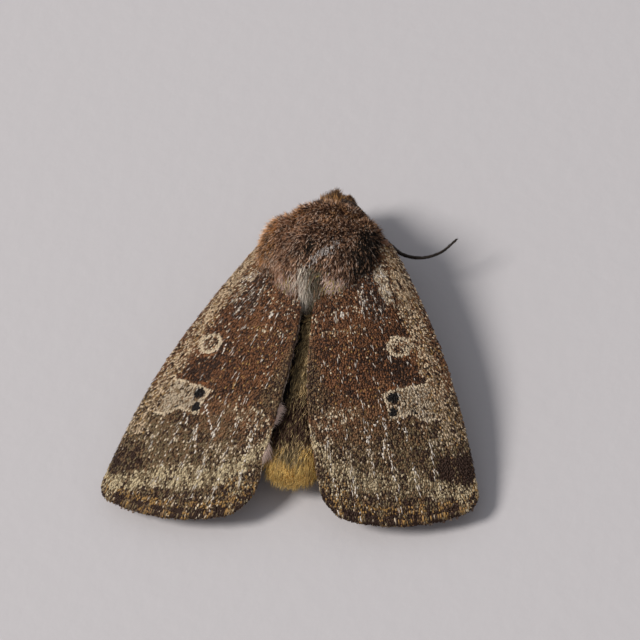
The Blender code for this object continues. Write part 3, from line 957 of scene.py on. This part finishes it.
# %% Fur
FUR_DARK, FUR_RED, FUR_LIGHT = (0.084, 0.042, 0.027), (0.64, 0.37, 0.225), (0.97, 0.74, 0.58)
DEEP, GINGER, PINK_HAIR = (0.030, 0.022, 0.016), (0.74, 0.38, 0.13), (1.0, 0.76, 0.64)
GREY_HAIR, CREAM_HAIR, GREEN_HAIR = (0.80, 0.73, 0.68), (1.0, 0.88, 0.74), (0.23, 0.195, 0.130)
ABDOMEN_BROWN, ABDOMEN_OCHRE, GOLD = (0.25, 0.18, 0.090), (0.66, 0.47, 0.23), (1.0, 0.69, 0.23)
BELLY_BROWN, YELLOW_HAIR, DARK_GOLD = (0.26, 0.16, 0.105), (0.70, 0.56, 0.12), (0.50, 0.30, 0.10)


def fur_finish():
    fur = Finish("fur", Roughness=0.6, Specular_IOR_Level=0.25)
    place = fur.attribute("root", "Vector")
    x, y, z = split(place)
    luck, second_luck, shade = split(fur.attribute("tone", "Vector"))
    tip = fur.attribute("tip")
    ragged_x, ragged_y, patchy = split(noise(place, 1.3, 3.0, out="Color"))
    # Neighbouring hairs share a tone, in streaks that run along the body.
    streak = noise(join(x * 6.0, y * 2.4, z * 6.0), 1.0, 1.0)
    across, along = x, y
    here = x, y = x + (ragged_x - 0.5) * 0.7, y + (ragged_y - 0.5) * 0.9
    width = x.math("ABSOLUTE")

    # The thorax: reddish brown, with ginger on the head, the collar's sides and the left shoulder's corner.
    # The right shoulder has no ginger and lies in painted shade.
    tone = step(streak + (shade - 0.5) * 0.45 + (patchy - 0.5) * 0.35, 0.34, 0.62)
    shoulder = step(x, -1.9, -2.5) * step(z, 3.2, 3.8) * step(y, -0.9, -0.2)
    collar_sides = step(y, 0.4, 2.2) * step(patchy, 0.42, 0.62) * 0.5
    bright = mix(most(step(y, 3.2, 3.9), shoulder * 0.7, collar_sides), FUR_RED, GINGER)
    colour = mix(tone, FUR_DARK, bright)
    colour = mix((luck < 0.16) * (1 - step(y, 3.0, 3.5)), colour, FUR_LIGHT)
    # Painted shade: more dark hairs towards the thorax's right side.
    colour = mix(second_luck < step(x, -1.5, 0.2) * 0.35, colour, FUR_DARK)
    colour = mix(second_luck < band(y, 2.5, 3.3, 0.3) * 0.35, colour, FUR_DARK)
    top = step(z, 3.6, 4.2)
    # Painted shade on the right flank, and a dark V mark on the back: deep brown hairs.
    right_shade_and_dark_v = most(
        step(x, 1.5, 2.4) * band(y, -1.9, 1.6, 0.6),
        blot(here, (-0.15, -0.35), (0.25, 0.5)) * top,
    )
    colour = mix(second_luck < right_shade_and_dark_v * 0.8, colour, DEEP)

    # Pink and a little yellow at its back, grey wisps across it, and a cream and a dark tuft on its middle.
    rear = step(y, -1.2, -2.0) * band(width, 0.85, 1.9, 0.2) * step(z, 2.8, 3.4)
    colour = mix(luck < rear * (0.42 + 0.43 * tone), colour, PINK_HAIR)
    colour = mix((1 - luck) < rear * 0.12, colour, YELLOW_HAIR)
    wisps = stroke(here, (0.05, -1.3), (1.2, 0.2), 0.2, 0.2) * top
    colour = mix(luck < wisps * 0.7, colour, GREY_HAIR)
    tuft = band(x, -0.65, 0.70, 0.12) * step(y, -1.2, -1.6) * top
    tuft_colour = mix(step(x, -0.08, 0.12), CREAM_HAIR, GREEN_HAIR)
    colour = mix(luck < tuft * step(x, -0.05, 0.2, (1.0, 0.85)), colour, tuft_colour)
    colour = mix(step(z, 2.4, 1.6) * 0.8, colour, BELLY_BROWN)

    # The abdomen: olive brown with pale edges to its segments, a golden tail, and a painted shadow of the
    # left wing's inner edge.
    edge = step(((along + FIRST_GROOVE) / SEGMENT).math("FRACT"), 0.35, 0.12)
    abdomen = mix(luck < 0.25 + edge * 0.4, ABDOMEN_BROWN, ABDOMEN_OCHRE)
    abdomen = mix(step(z, 1.9, 1.2) * 0.6, abdomen, BELLY_BROWN)
    colour = mix(step(along, -3.1, -3.5) * step(z, 4.0, 3.6), colour, abdomen)
    # Painted shadow: deep brown hairs where the left wing's inner edge shades the abdomen.
    left_wing_shadow = stroke((across, along), (-0.42, -3.2), (-0.80, -8.8), 0.22, 0.12)
    colour = mix((1 - luck) < left_wing_shadow * 0.9, colour, DEEP)
    tail = mix(step(streak + (shade - 0.5) * 0.4, 0.32, 0.58), DARK_GOLD, GOLD)
    colour = mix(second_luck < band(y, -10.2, -8.0, 0.4) * 0.75, colour, FUR_DARK)
    colour = mix(second_luck < step(y - width * 0.6, -10.6, -11.3) * 0.97, colour, tail)
    # Painted shade: each hair darkens towards its root, deep in the coat, less in the midline tuft and at the
    # back.
    colour = mix(step(tip, 0.45, 0.0) * (0.45 - 0.43 * most(tuft, rear * 0.5)), colour, FUR_DARK)
    return fur.wear(Base_Color=colour)


# %% [markdown]
# ## The fur
#
# Fur is many thin locks that lie along the body, from the head backwards. A short dense layer covers
# the skin, and longer hairs lie over it. Blender's own hair curves are finer, but don't export as a
# mesh, so the locks are stamped like the scales. Their direction is a simple rule for each region, and
# no two locks have quite the same length or turn.

# %% Directions of the coat
EYE_CENTRE, EYE_RADIUS = np.array([0.86, 3.98, 2.5]), 0.59


def backwards(points):
    """Backwards, outwards a little behind the collar and together again over the wings' roots."""
    x, y, _ = points.T
    across = 0.05 * x * eased(y, -0.5, 2.0) - 0.30 * x * eased(y, -0.6, -2.8)
    return np.stack([across, -np.ones_like(x), 0.4 * eased(y, 0.8, 2.6)], -1)


def face_lie(points):
    """On the head: forwards and down over the face, forwards on the crown."""
    x, y, _ = points.T
    down = eased(y, 4.2, 4.8)
    return np.stack([0.5 * x, 1.0 - 0.7 * down, 0.2 - 1.2 * down], -1)


def gathered(points):
    """The tuft on the midline: backwards over the wings and together."""
    x = points[:, 0]
    return np.stack([-0.3 * x, -np.ones_like(x), np.zeros_like(x)], -1)


def bristling(points):
    """Forwards and up, as the hair on the crown stands."""
    return np.tile((0.0, 0.9, 0.4), (len(points), 1))


def spreading(points):
    """Backwards and slightly apart, as the tail's brush does."""
    x, _, z = points.T
    return np.stack([0.10 * x, -np.ones_like(x), 0.1 * (z - 1.5)], -1)


# %% Where each coat grows
def folded(points):
    """The places of points, with those of the left side moved over to the right."""
    return np.abs(points) * (1, 0, 0) + points * (0, 1, 1)


def growing(x=(-9, 9), y=(-99, 99), z=(-9, 9), belly=None, both_sides=False):
    """How densely a coat grows at points: in a box, and more thinly from belly[1] down to belly[0]."""
    low, high = np.transpose([x, y, z])

    def density(points):
        places = folded(points) if both_sides else points
        inside = ((places > low) & (places < high)).all(-1)
        return inside * (0.35 + 0.65 * eased(points[..., 2], *belly)) if belly else inside * 1.0
    return density


def around_eyes(points):
    """All over the head, but not on the eyes."""
    from_eye = np.linalg.norm(folded(points) - EYE_CENTRE, axis=-1)
    return (points[..., 1] > 2.9) * (from_eye > EYE_RADIUS + 0.02)


ON_THORAX = growing(y=(-4.2, 3.3), belly=(1.2, 2.6))
ON_ABDOMEN = growing(y=(-10.9, -2.9), belly=(1.4, 2.2))
ON_TAIL = growing(y=(-99, -10.1))
ON_CROWN = growing(x=(-0.75, 0.25), y=(3.3, 9), z=(2.9, 9))
ON_SHOULDERS = growing(x=(1.7, 9), y=(-0.6, 2.4), z=(3.3, 4.9), both_sides=True)
ON_BACK = growing(x=(-2.3, 2.3), y=(-3.4, -1.2), z=(3.2, 9))
ON_MIDLINE = growing(x=(-0.7, 0.7), y=(-3.0, -1.3), z=(3.6, 9))


# %% Coats of the body
# Each coat: its name, how many locks it has, where it grows and which way it lies, the length and
# width of a lock, how far its tip stands off, how far it strays from its way, and its material slot.
BODY_COATS = (
    ("thorax_undercoat", 15500, ON_THORAX, backwards, 0.34, 0.060, 0.19, 0.24, "fur"),
    ("thorax_overcoat", 10500, ON_THORAX, backwards, 0.44, 0.062, 0.24, 0.20, "fur"),
    ("crown_fur", 700, ON_CROWN, bristling, 0.50, 0.045, 0.26, 0.25, "fur"),
    ("shoulder_fur", 900, ON_SHOULDERS, backwards, 0.50, 0.05, 0.30, 0.25, "fur"),
    ("head_fur", 5200, around_eyes, face_lie, 0.34, 0.042, 0.16, 0.28, "fur"),
    ("back_mane", 2200, ON_BACK, backwards, 0.62, 0.055, 0.24, 0.24, "fur"),
    ("midline_tuft", 650, ON_MIDLINE, gathered, 1.24, 0.048, 0.30, 0.26, "fur"),
    ("abdomen_fur", 9500, ON_ABDOMEN, backwards, 0.55, 0.058, 0.22, 0.14, "abdomen_fur"),
    ("tail_fur", 3600, ON_TAIL, spreading, 0.95, 0.060, 0.14, 0.14, "tuft"),
)


def dress_body(finish):
    skin = finish_mesh(bent_grid([body_surface], 150, 72), "body_skin")
    new_piece("body_skin", skin, finish, "fur", ["head", "collar", "thorax", "abdomen", "tail_tuft"])
    for name, count, where, lie, length, width, lift, turn, slot in BODY_COATS:
        bed = scatter(body_surface, count, where)
        coat(name, HAIR, bed, unit(lie(bed[0])), (length, width), finish, slot,
             flat=0.6, lift=lift, curl=1.4, turn=turn, spread=(0.3, 0.3, 0.5))


fur = fur_finish()
dress_body(fur)

# %% [markdown]
# ## Limbs
#
# Legs, palps, feelers and the tongue are all tubes along a smooth line. `limb` gives such a tube as a
# function of two shares, like the skins above, so the same grid, scattering and coats work for it.
# A bevelled curve is quicker to set up, but here the radius is a function too: that is what makes
# joints, rings and tapering ends.

# %% A tube along a smooth line
def smooth_line(points):
    """A smooth line through points (Catmull-Rom), as a function of the share u of the way along it."""
    points = np.array(points, float)
    ends = np.vstack([2 * points[0] - points[1], points, 2 * points[-1] - points[-2]])

    def line(u):
        spot = np.clip(u, 0, 1) * (len(points) - 1)
        i = np.minimum(spot.astype(int), len(points) - 2)
        t = (spot - i)[..., None]
        a, b, c, d = (ends[i + k] for k in range(4))
        bend, twist = 2 * a - 5 * b + 4 * c - d, 3 * b - a - 3 * c + d
        return 0.5 * (2 * b + (c - a) * t + bend * t**2 + twist * t**3)
    return line


def limb(points, radius, rounding=0.03):
    """The shape of a closed tube along a smooth line. radius(u) is its thickness, and its ends are round."""
    line = smooth_line(points)
    ends = [np.array(point, float) for point in (points[0], points[len(points) // 2], points[-1])]
    level = unit(np.cross(ends[1] - ends[0], ends[2] - ends[0]) + (0, 0, 1e-9))

    def shape(u, v):
        ahead = unit(line(np.minimum(u + 0.01, 1)) - line(np.maximum(u - 0.01, 0)))
        side = unit(np.cross(ahead, level))
        top = np.cross(side, ahead)
        to_end = (np.minimum(u, 1 - u) / rounding).clip(0, 1)
        size = (radius(u) * np.sqrt(1 - (1 - to_end) ** 2))[..., None]
        turn = (2 * np.pi * v)[..., None]
        return line(u) + size * (np.sin(turn) * side - np.cos(turn) * top)
    return shape


def tapering(stops, radii):
    return lambda u: np.interp(u, stops, radii)


def mirrored(points, side):
    return [(x * side, y, z) for x, y, z in points]


def furry_limb(name, shape, grid, finish, slot, nodes, count, size,
               tuft=HAIR, flat=0.5, lift=0.05, turn=0.15):
    """A limb's skin and its coat. Its shader reads how far along the limb a tuft is, as fan."""
    skin = finish_mesh(bent_grid([shape], *grid), name, lambda u, v: {"fan": u})
    new_piece(name, skin, finish, slot, nodes)
    bed = scatter(shape, count, cells=(120, 24))
    sizes = [uneven(each, count, 0.3) for each in size]
    coat(name + "_coat", tuft, bed, bed[2], sizes, finish, slot, {"fan": bed[3][:, 0]},
         flat=flat, lift=lift, turn=turn, spread=(0, 0, 0.5))


# %% [markdown]
# ## Legs
#
# A moth's leg has a stout femur and tibia and a foot of five short segments with two claws. Scales
# cover it all, with pale rings at the foot's joints. The middle and hind tibias carry spurs. A leg
# could be a chain of separate cones, but scales would gape at its joints, so it is one limb that
# bends at the knee and swells at the end of each segment.

# %% Leg shapes
LEG_LINES = {
    "front": ((0.9, 2.4, 1.4), (1.65, 3.3, 1.3), (1.85, 4.05, 0.66), (1.75, 4.45, 0.21), (1.45, 5.22, 0.17)),
    "middle": ((1.4, 0.3, 1.3), (3.05, 0.75, 1.45), (3.8, 0.1, 0.72), (4.1, -0.5, 0.21), (4.7, -2.15, 0.17)),
    "hind": ((1.4, -1.9, 1.2), (3.3, -2.8, 1.4), (4.0, -5.2, 0.72), (4.3, -5.9, 0.21), (5.0, -8.35, 0.17)),
}
FOOT_START, FOOT_SEGMENTS = 0.62, 5
SPURS = {"front": (), "middle": (0.60,), "hind": (0.52, 0.60)}
SPUR_LENGTHS, CLAW_LENGTHS = (0.66, 0.44), (0.2, 0.2)
# Shares of the way along a leg from the body over knee and ankle to the foot, and its radius there.
LEG_STOPS = (0, 0.1, 0.22, 0.27, 0.36, 0.5, 0.58, 0.64, 1)
LEG_RADII = (0.36, 0.36, 0.26, 0.2, 0.24, 0.2, 0.15, 0.1, 0.075)


def leg_radius(u):
    """Thick femur and tibia, thinner at the knee and ankle, then a foot that swells at each segment's end."""
    radius = np.interp(u, LEG_STOPS, LEG_RADII)
    segment = ((u - FOOT_START) / (1 - FOOT_START) * FOOT_SEGMENTS) % 1
    return radius * np.where(u > FOOT_START, 0.78 + 0.3 * segment**1.5, 1)


def leg_finish():
    leg = Finish("leg_scales", Roughness=0.55, Specular_IOR_Level=0.3)
    luck, _, shade = split(leg.attribute("tone", "Vector"))
    fan = leg.attribute("fan")
    colour = mix(step(shade, 0.1, 0.9), (0.075, 0.040, 0.026), (0.24, 0.135, 0.08))
    segment = ((fan - FOOT_START) * (FOOT_SEGMENTS / (1 - FOOT_START))).math("FRACT")
    pale_ring = step(segment, 0.70, 0.80) * step(fan, FOOT_START, FOOT_START + 0.02)
    speckle = step(noise(leg.attribute("root", "Vector"), 2.5), 0.45, 0.65)
    colour = mix(luck < most(pale_ring * 0.9, 0.10 + speckle * 0.25), colour, (0.55, 0.42, 0.29))
    return leg.wear(Base_Color=colour)


def station(line, u):
    """A place on a leg's line, the direction along it and the level direction across it."""
    place = line(np.array(u))
    ahead = unit(place - line(np.array(u - 0.03)))
    return place, ahead, unit(np.cross(ahead, (0, 0, 1)))


def hooks(root, ahead, across, lengths, radius, bend):
    """A pair of claws or spurs: thin tapering limbs from root that bend down towards their tips."""
    for side, length in zip((across, -across), lengths):
        middle = root + (ahead * 0.5 + side * 0.35) * length
        tip = root + (ahead * 0.95 + side * 0.5) * length - (0, 0, bend)
        yield limb([root, middle, tip], tapering((0, 0.3, 1), (radius, radius * 0.9, radius * 0.15)), 0.08)


def dress_legs(finish, horn):
    for side, label in SIDES:
        for pair, points in LEG_LINES.items():
            points = mirrored(points, side)
            shape = limb(points, leg_radius)
            name = f"leg_{pair}_{label}"
            furry_limb(name + "_skin", shape, (110, 16), finish, "leg", [name], 1500, (0.18, 0.085), SCALE,
                       flat=0.15, lift=0.025)
            line = smooth_line(points)
            end, ahead, across = station(line, 1.0)
            claws = [*hooks(end - ahead * 0.03, ahead, across, CLAW_LENGTHS, 0.028, 0.09)]
            for u in SPURS[pair]:
                claws += hooks(*station(line, u), SPUR_LENGTHS, 0.045, 0.03)
            new_piece(f"claws_{pair}_{label}", finish_mesh(bent_grid(claws, 14, 8), "claws"), horn, "leg")


# %% [markdown]
# ## Feelers
#
# A feeler is a whip of many short rings, thick at its root and fine at its tip, with dark bristles
# all over. The right one reaches out from under the shoulder, and the left one is tucked back beneath
# the wing. The rings could be a bump in the material, but they show against the floor, so the radius
# makes them.

# %% Feelers
FEELER_RINGS = 52
FEELER_LINES = {
    "right": ((0.42, 4.1, 3.5), (1.08, 4.02, 3.3), (1.8, 3.65, 2.45), (2.3, 3.22, 1.85),
              (2.95, 2.62, 1.75), (3.75, 1.85, 1.95), (4.8, 1.5, 2.12), (5.8, 1.82, 2.2), (6.5, 2.65, 2.22)),
    "left": ((-0.42, 4.1, 3.5), (-1.08, 4.02, 3.3), (-1.8, 3.65, 2.45), (-2.38, 3.15, 1.85),
             (-3.2, 2.2, 1.85), (-3.9, 0.6, 2.05), (-4.2, -1.2, 2.1), (-4.6, -3.0, 1.9)),
}


def feeler_radius(u):
    rings = 1 + 0.16 * ((u * FEELER_RINGS) % 1) ** 2
    return np.interp(u, (0, 0.03, 0.06, 0.5, 1), (0.15, 0.15, 0.105, 0.09, 0.045)) * rings


def feeler_finish():
    feeler = Finish("feeler", Roughness=0.5, Specular_IOR_Level=0.35)
    luck, _, shade = split(feeler.attribute("tone", "Vector"))
    fan = feeler.attribute("fan")
    colour = mix(step(shade, 0.1, 0.9), (0.014, 0.010, 0.008), (0.055, 0.036, 0.024))
    colour = mix(luck < step(fan, 0.35, 0.0) * 0.35, colour, (0.30, 0.19, 0.12))
    return feeler.wear(Base_Color=colour)


def dress_feelers(finish):
    for label, points in FEELER_LINES.items():
        shape = limb(points, feeler_radius, 0.01)
        furry_limb(f"feeler_{label}_skin", shape, (FEELER_RINGS * 5, 12), finish, "feeler",
                   [f"feeler_{label}"], 1500, (0.12, 0.034), flat=0.4, lift=0.02, turn=0.2)


# %% [markdown]
# ## Face
#
# The eyes are large, dark and glossy, with hundreds of fine facets. Modelled facets would take many
# thousands of faces and show only as a glint, so a Voronoi bump draws them on a plain globe. The palps
# curve up before the face, thick with hair, and the coiled tongue lies between them. Palps are limbs,
# and the tongue is a tube of its own, so that its turns keep to one plane.

# %% Eyes
def eye_finish():
    eye = Finish("eye", Roughness=0.28, Specular_IOR_Level=0.3, Coat_Weight=0.35, Coat_Roughness=0.06)
    place = eye.node("TexCoord", out="Object")
    facets = eye.node("TexVoronoi", {"feature": "DISTANCE_TO_EDGE"}, {"Vector": place, "Scale": 16000.0,
                                                                      "Randomness": 0.25})
    mottle = step(noise(place, 2600.0), 0.35, 0.65)
    colour = mix(mottle, (0.016, 0.009, 0.007), (0.042, 0.020, 0.012))
    return eye.wear(Base_Color=colour, Normal=bump(step(facets, 0.0, 0.25), 0.000006, 0.6))


def make_eyes(finish):
    for side, label in SIDES:
        bm = bmesh.new()
        bmesh.ops.create_uvsphere(bm, u_segments=48, v_segments=32, radius=EYE_RADIUS)
        bmesh.ops.rotate(bm, cent=(0, 0, 0), matrix=Matrix.Rotation(math.pi / 2, 3, "Y"), verts=bm.verts)
        bmesh.ops.scale(bm, vec=(0.92, 1.0, 1.04), verts=bm.verts)
        bmesh.ops.translate(bm, vec=EYE_CENTRE * (side, 1, 1), verts=bm.verts)
        new_piece(f"eye_{label}_globe", finish_mesh(bm, "eye"), finish, "eye", [f"eye_{label}"])


# %% Palps
PALP_LINE = ((0.40, 4.45, 1.65), (0.5, 4.95, 1.65), (0.5, 5.25, 1.95), (0.45, 5.3, 2.3))


def dress_palps(finish):
    for side, label in SIDES:
        radius = tapering((0, 0.5, 0.85, 1), (0.15, 0.19, 0.13, 0.09))
        furry_limb(f"palp_{label}_skin", limb(mirrored(PALP_LINE, side), radius, 0.06), (40, 16), finish,
                   "fur", [f"palp_{label}"], 1300, (0.28, 0.045), lift=0.10)


# %% Tongue
TONGUE_CENTRE, TONGUE_RADIUS, TONGUE_TURNS = np.array([0, 4.75, 1.3]), 0.46, 2.3
TONGUE_POINTS, TONGUE_RINGS = 26, 70


def make_tongue(finish):
    """A coil that winds inwards in the plane between the palps, slightly flattened and finely ringed."""
    turn = np.linspace(0.3, TONGUE_TURNS, TONGUE_POINTS) * 2 * np.pi
    reach = TONGUE_RADIUS * (1 - 0.72 * (turn - turn[0]) / (turn[-1] - turn[0]))
    aside = 0.02 * np.arange(TONGUE_POINTS) / TONGUE_POINTS
    line = smooth_line(TONGUE_CENTRE + np.stack([aside, reach * np.sin(turn), reach * np.cos(turn)], -1))

    def shape(u, v):
        middle = line(u)
        out = unit(middle - TONGUE_CENTRE)
        out[..., 0] = 0
        to_end = (np.minimum(u, 1 - u) / 0.01).clip(0, 1)
        size = blend(0.115, 0.06, u) * np.sqrt(1 - (1 - to_end) ** 2)
        size = (size * (1 + 0.06 * np.cos(2 * np.pi * u * TONGUE_RINGS)))[..., None]
        angle = (2 * np.pi * v)[..., None]
        return middle + size * (np.sin(angle) * (1.3, 0, 0) + np.cos(angle) * unit(out))

    coil = bent_grid([shape], 280, 12)
    new_piece("tongue_coil", finish_mesh(coil, "tongue"), finish, "feeler", ["tongue"])


def horn_finish():
    horn = Finish("horn", Roughness=0.3, Specular_IOR_Level=0.5)
    tone = noise(horn.node("TexCoord", out="Object"), 4000.0, 2.0)
    return horn.wear(Base_Color=mix(step(tone, 0.3, 0.7), (0.10, 0.045, 0.018), (0.028, 0.014, 0.009)))


horn = horn_finish()
dress_legs(leg_finish(), horn)
dress_feelers(feeler_finish())
make_eyes(eye_finish())
dress_palps(fur)
make_tongue(horn)

# %% [markdown]
# ## Hindwings
#
# The hindwings rest folded below the forewings, thin and pale, with a long pinkish fringe that
# shows beside the abdomen. Pleats along their veins let them fold. They could have a sheet of their
# own, but they lie against the forewings, so they follow the forewing's sheet a little lower down.

# %% Hindwings
HINDWING_U, HINDWING_V, HINDWING_DROP = (0.0, 0.80), (0.14, 0.93), 0.42
HINDSKIN_REACH, HINDSKIN_THICK, HINDWING_HAIRS = 0.96, 0.08, 2600
PLEATS, PLEAT_DEPTH = 7, 0.07
SLIPPED_TUFTS = (0.765, 0.075), (0.925, 0.04)  # the middle of each along the wing, and half its width


def hindwing_sheet(u, v, side):
    """Points of a hindwing's upper face, from its root and its front edge."""
    reach = HINDWING_U[1] - 0.05 * (2 * v - 1) ** 2
    points = wing_sheet(blend(HINDWING_U[0], reach, u), blend(*HINDWING_V, v), side)
    points[..., 2] += PLEAT_DEPTH * np.cos(2 * np.pi * v * PLEATS) * u - HINDWING_DROP
    return points


def hindwing_finish():
    wing = Finish("hindwing", Roughness=0.6, Specular_IOR_Level=0.3)
    _, _, shade = split(wing.attribute("tone", "Vector"))
    reach = wing.attribute("fan")
    colour = mix(step(reach, 0.2, 0.85), (0.42, 0.32, 0.26), (0.20, 0.145, 0.115))
    colour = mix(step(reach, 0.93, 0.97), colour, (0.68, 0.52, 0.44))
    colour = mix(step(shade, 0.0, 1.0, (0.25, 0.0)), colour, (0.12, 0.08, 0.06))
    colour = mix(reach > 1.5, colour, (1.0, 0.75, 0.63))
    return wing.wear(Base_Color=colour)


def dress_hindwing(side, label, finish):
    def skin_sheet(u, across):
        return hindwing_sheet(u * HINDSKIN_REACH, across, side)

    skin = bent_grid([flat_tube(skin_sheet, HINDSKIN_THICK)], 70, 120)
    skin = finish_mesh(skin, "hindwing", lambda u, v: {"fan": u * HINDSKIN_REACH})
    new_piece(f"hindwing_{label}_skin", skin, finish, "hindwing", [f"hindwing_{label}"])
    count = HINDWING_HAIRS
    edge = DICE.random(count) < 0.55
    u = np.where(edge, DICE.uniform(0.90, 0.96, count), DICE.uniform(0.35, 0.95, count))
    v = np.where(edge, DICE.uniform(0.0, 1.0, count), DICE.uniform(0.975, 1.0, count))
    near = 0.01
    along = unit(hindwing_sheet(u + near, v, side) - hindwing_sheet(u - near, v, side))
    inward = unit(hindwing_sheet(u, v, side) - hindwing_sheet(u, v - near, side))
    out = unit(np.cross(along, inward))
    out *= np.sign(out[:, 2:])
    # Two tufts at the left wing's inner edge have slipped out beside the abdomen.
    upper, lower = ((1 - ((u - middle) / half) ** 2).clip(0, 1) ** 0.5 for middle, half in SLIPPED_TUFTS)
    upper, lower = (np.where(edge | (side > 0), 0, share) for share in (upper, lower))
    slipped = upper + lower > 0
    lean = (0.6 + 0.3 * upper + 0.1 * lower)[:, None]
    lie = np.where(edge[:, None], along, along * (0.8 + 0.35 * lower[:, None]) + inward * lean)
    lie = tousled(lie, out, 0.1)
    size = uneven(0.55, count, 0.2) + 0.42 * upper + 1.0 * lower, uneven(0.05, count, 0.2)
    lift = uneven(0.03, count, 1.0) + 0.05 * slipped
    bed = hindwing_sheet(u, v, side), out, along, np.stack([u, v / 2], -1)
    coat(f"hindwing_{label}_fringe", HAIR, bed, lie, size, finish, "hindwing", {"fan": 1.0 + slipped},
         lift=lift, spread=(0, 0, 0))


hindwing = hindwing_finish()
for side, label in SIDES:
    dress_hindwing(side, label, hindwing)

# %% [markdown]
# ## Floor, light and camera
#
# The moth stands on a plain pale floor. One soft lamp from its left shows the wings' relief: a second
# lamp would flatten it, so a pale world fills the shadows instead. The camera looks down from behind
# with a long lens, which keeps the wings' far ends in proportion, and is turned a little.

# %% Floor
def make_floor():
    bm = bmesh.new()
    bmesh.ops.create_circle(bm, cap_ends=True, segments=96, radius=0.6)
    mesh = bpy.data.meshes.new("floor")
    bm.to_mesh(mesh)
    bm.free()
    floor = bpy.data.objects.new("floor", mesh)
    bpy.context.scene.collection.objects.link(floor)
    finish = Finish("floor", Base_Color=(0.57, 0.545, 0.555), Roughness=0.85)
    place = finish.node("TexCoord", out="Object")
    mesh.materials.append(finish.wear(Normal=bump(noise(place, 900.0, 3.0), 0.0001, 0.3)))
    floor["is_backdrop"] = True


make_floor()

# %% Camera
ELEVATION, AZIMUTH, ROLL = (math.radians(angle) for angle in (50.13, 22.38, -17.16))
DISTANCE, LENS = 0.15, 168.3
MIDDLE, AIM_RIGHT, AIM_UP = Vector((0, -5, 2)), 0.4526, 2.013


def make_camera():
    level = Vector((math.cos(AZIMUTH), math.sin(AZIMUTH), 0))
    behind = Vector((math.sin(AZIMUTH), -math.cos(AZIMUTH), 0))
    back = behind * math.cos(ELEVATION) + Vector((0, 0, math.sin(ELEVATION)))
    upright = back.cross(level)
    right = level * math.cos(ROLL) + upright * math.sin(ROLL)
    up = back.cross(right)
    data = bpy.data.cameras.new("camera")
    data.lens, data.clip_start, data.clip_end = LENS, 0.001, 5.0
    camera = bpy.data.objects.new("camera", data)
    bpy.context.scene.collection.objects.link(camera)
    aim = Vector(to_metres(MIDDLE + right * AIM_RIGHT + up * AIM_UP))
    pose = Matrix((right, up, back)).transposed().to_4x4()
    camera.matrix_world = Matrix.Translation(aim + back * DISTANCE) @ pose
    bpy.context.scene.camera = camera
    print("camera at", camera.matrix_world.translation)
    return right, up


view_right, view_up = make_camera()


# %% Light
def add_lamp(name, direction, distance, size, power, colour):
    data = bpy.data.lights.new(name, "AREA")
    data.shape, data.size, data.energy, data.color = "DISK", size, power, colour
    lamp = bpy.data.objects.new(name, data)
    bpy.context.scene.collection.objects.link(lamp)
    direction = direction.normalized()
    lamp.location = Vector(to_metres(MIDDLE)) + direction * distance
    lamp.rotation_mode = "QUATERNION"
    lamp.rotation_quaternion = direction.to_track_quat("Z", "Y")
    print(name, "lamp at", lamp.location)


add_lamp("key", view_right * -0.90 - view_up * 0.25 + Vector((0, 0, 0.95)), 1.0, 0.40, 9.0, (1.0, 0.97, 0.93))
world = bpy.data.worlds.new("studio")
world.use_nodes = True
glow = world.node_tree.nodes["Background"].inputs
glow["Color"].default_value = (0.92, 0.94, 1.0, 1)
glow["Strength"].default_value = 0.35
bpy.context.scene.world = world
bpy.context.scene.view_settings.view_transform = "Standard"

# %% [markdown]
# ## Size
#
# The dressed moth must be as large as its solids, and fur that is a little too long is hard to see. So
# both boxes are worked out at the end.

# %% Work out both boxes and finish
boxes = {"cad": cad_box, "visual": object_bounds()}
{name: [list(corner) for corner in box] for name, box in boxes.items()}
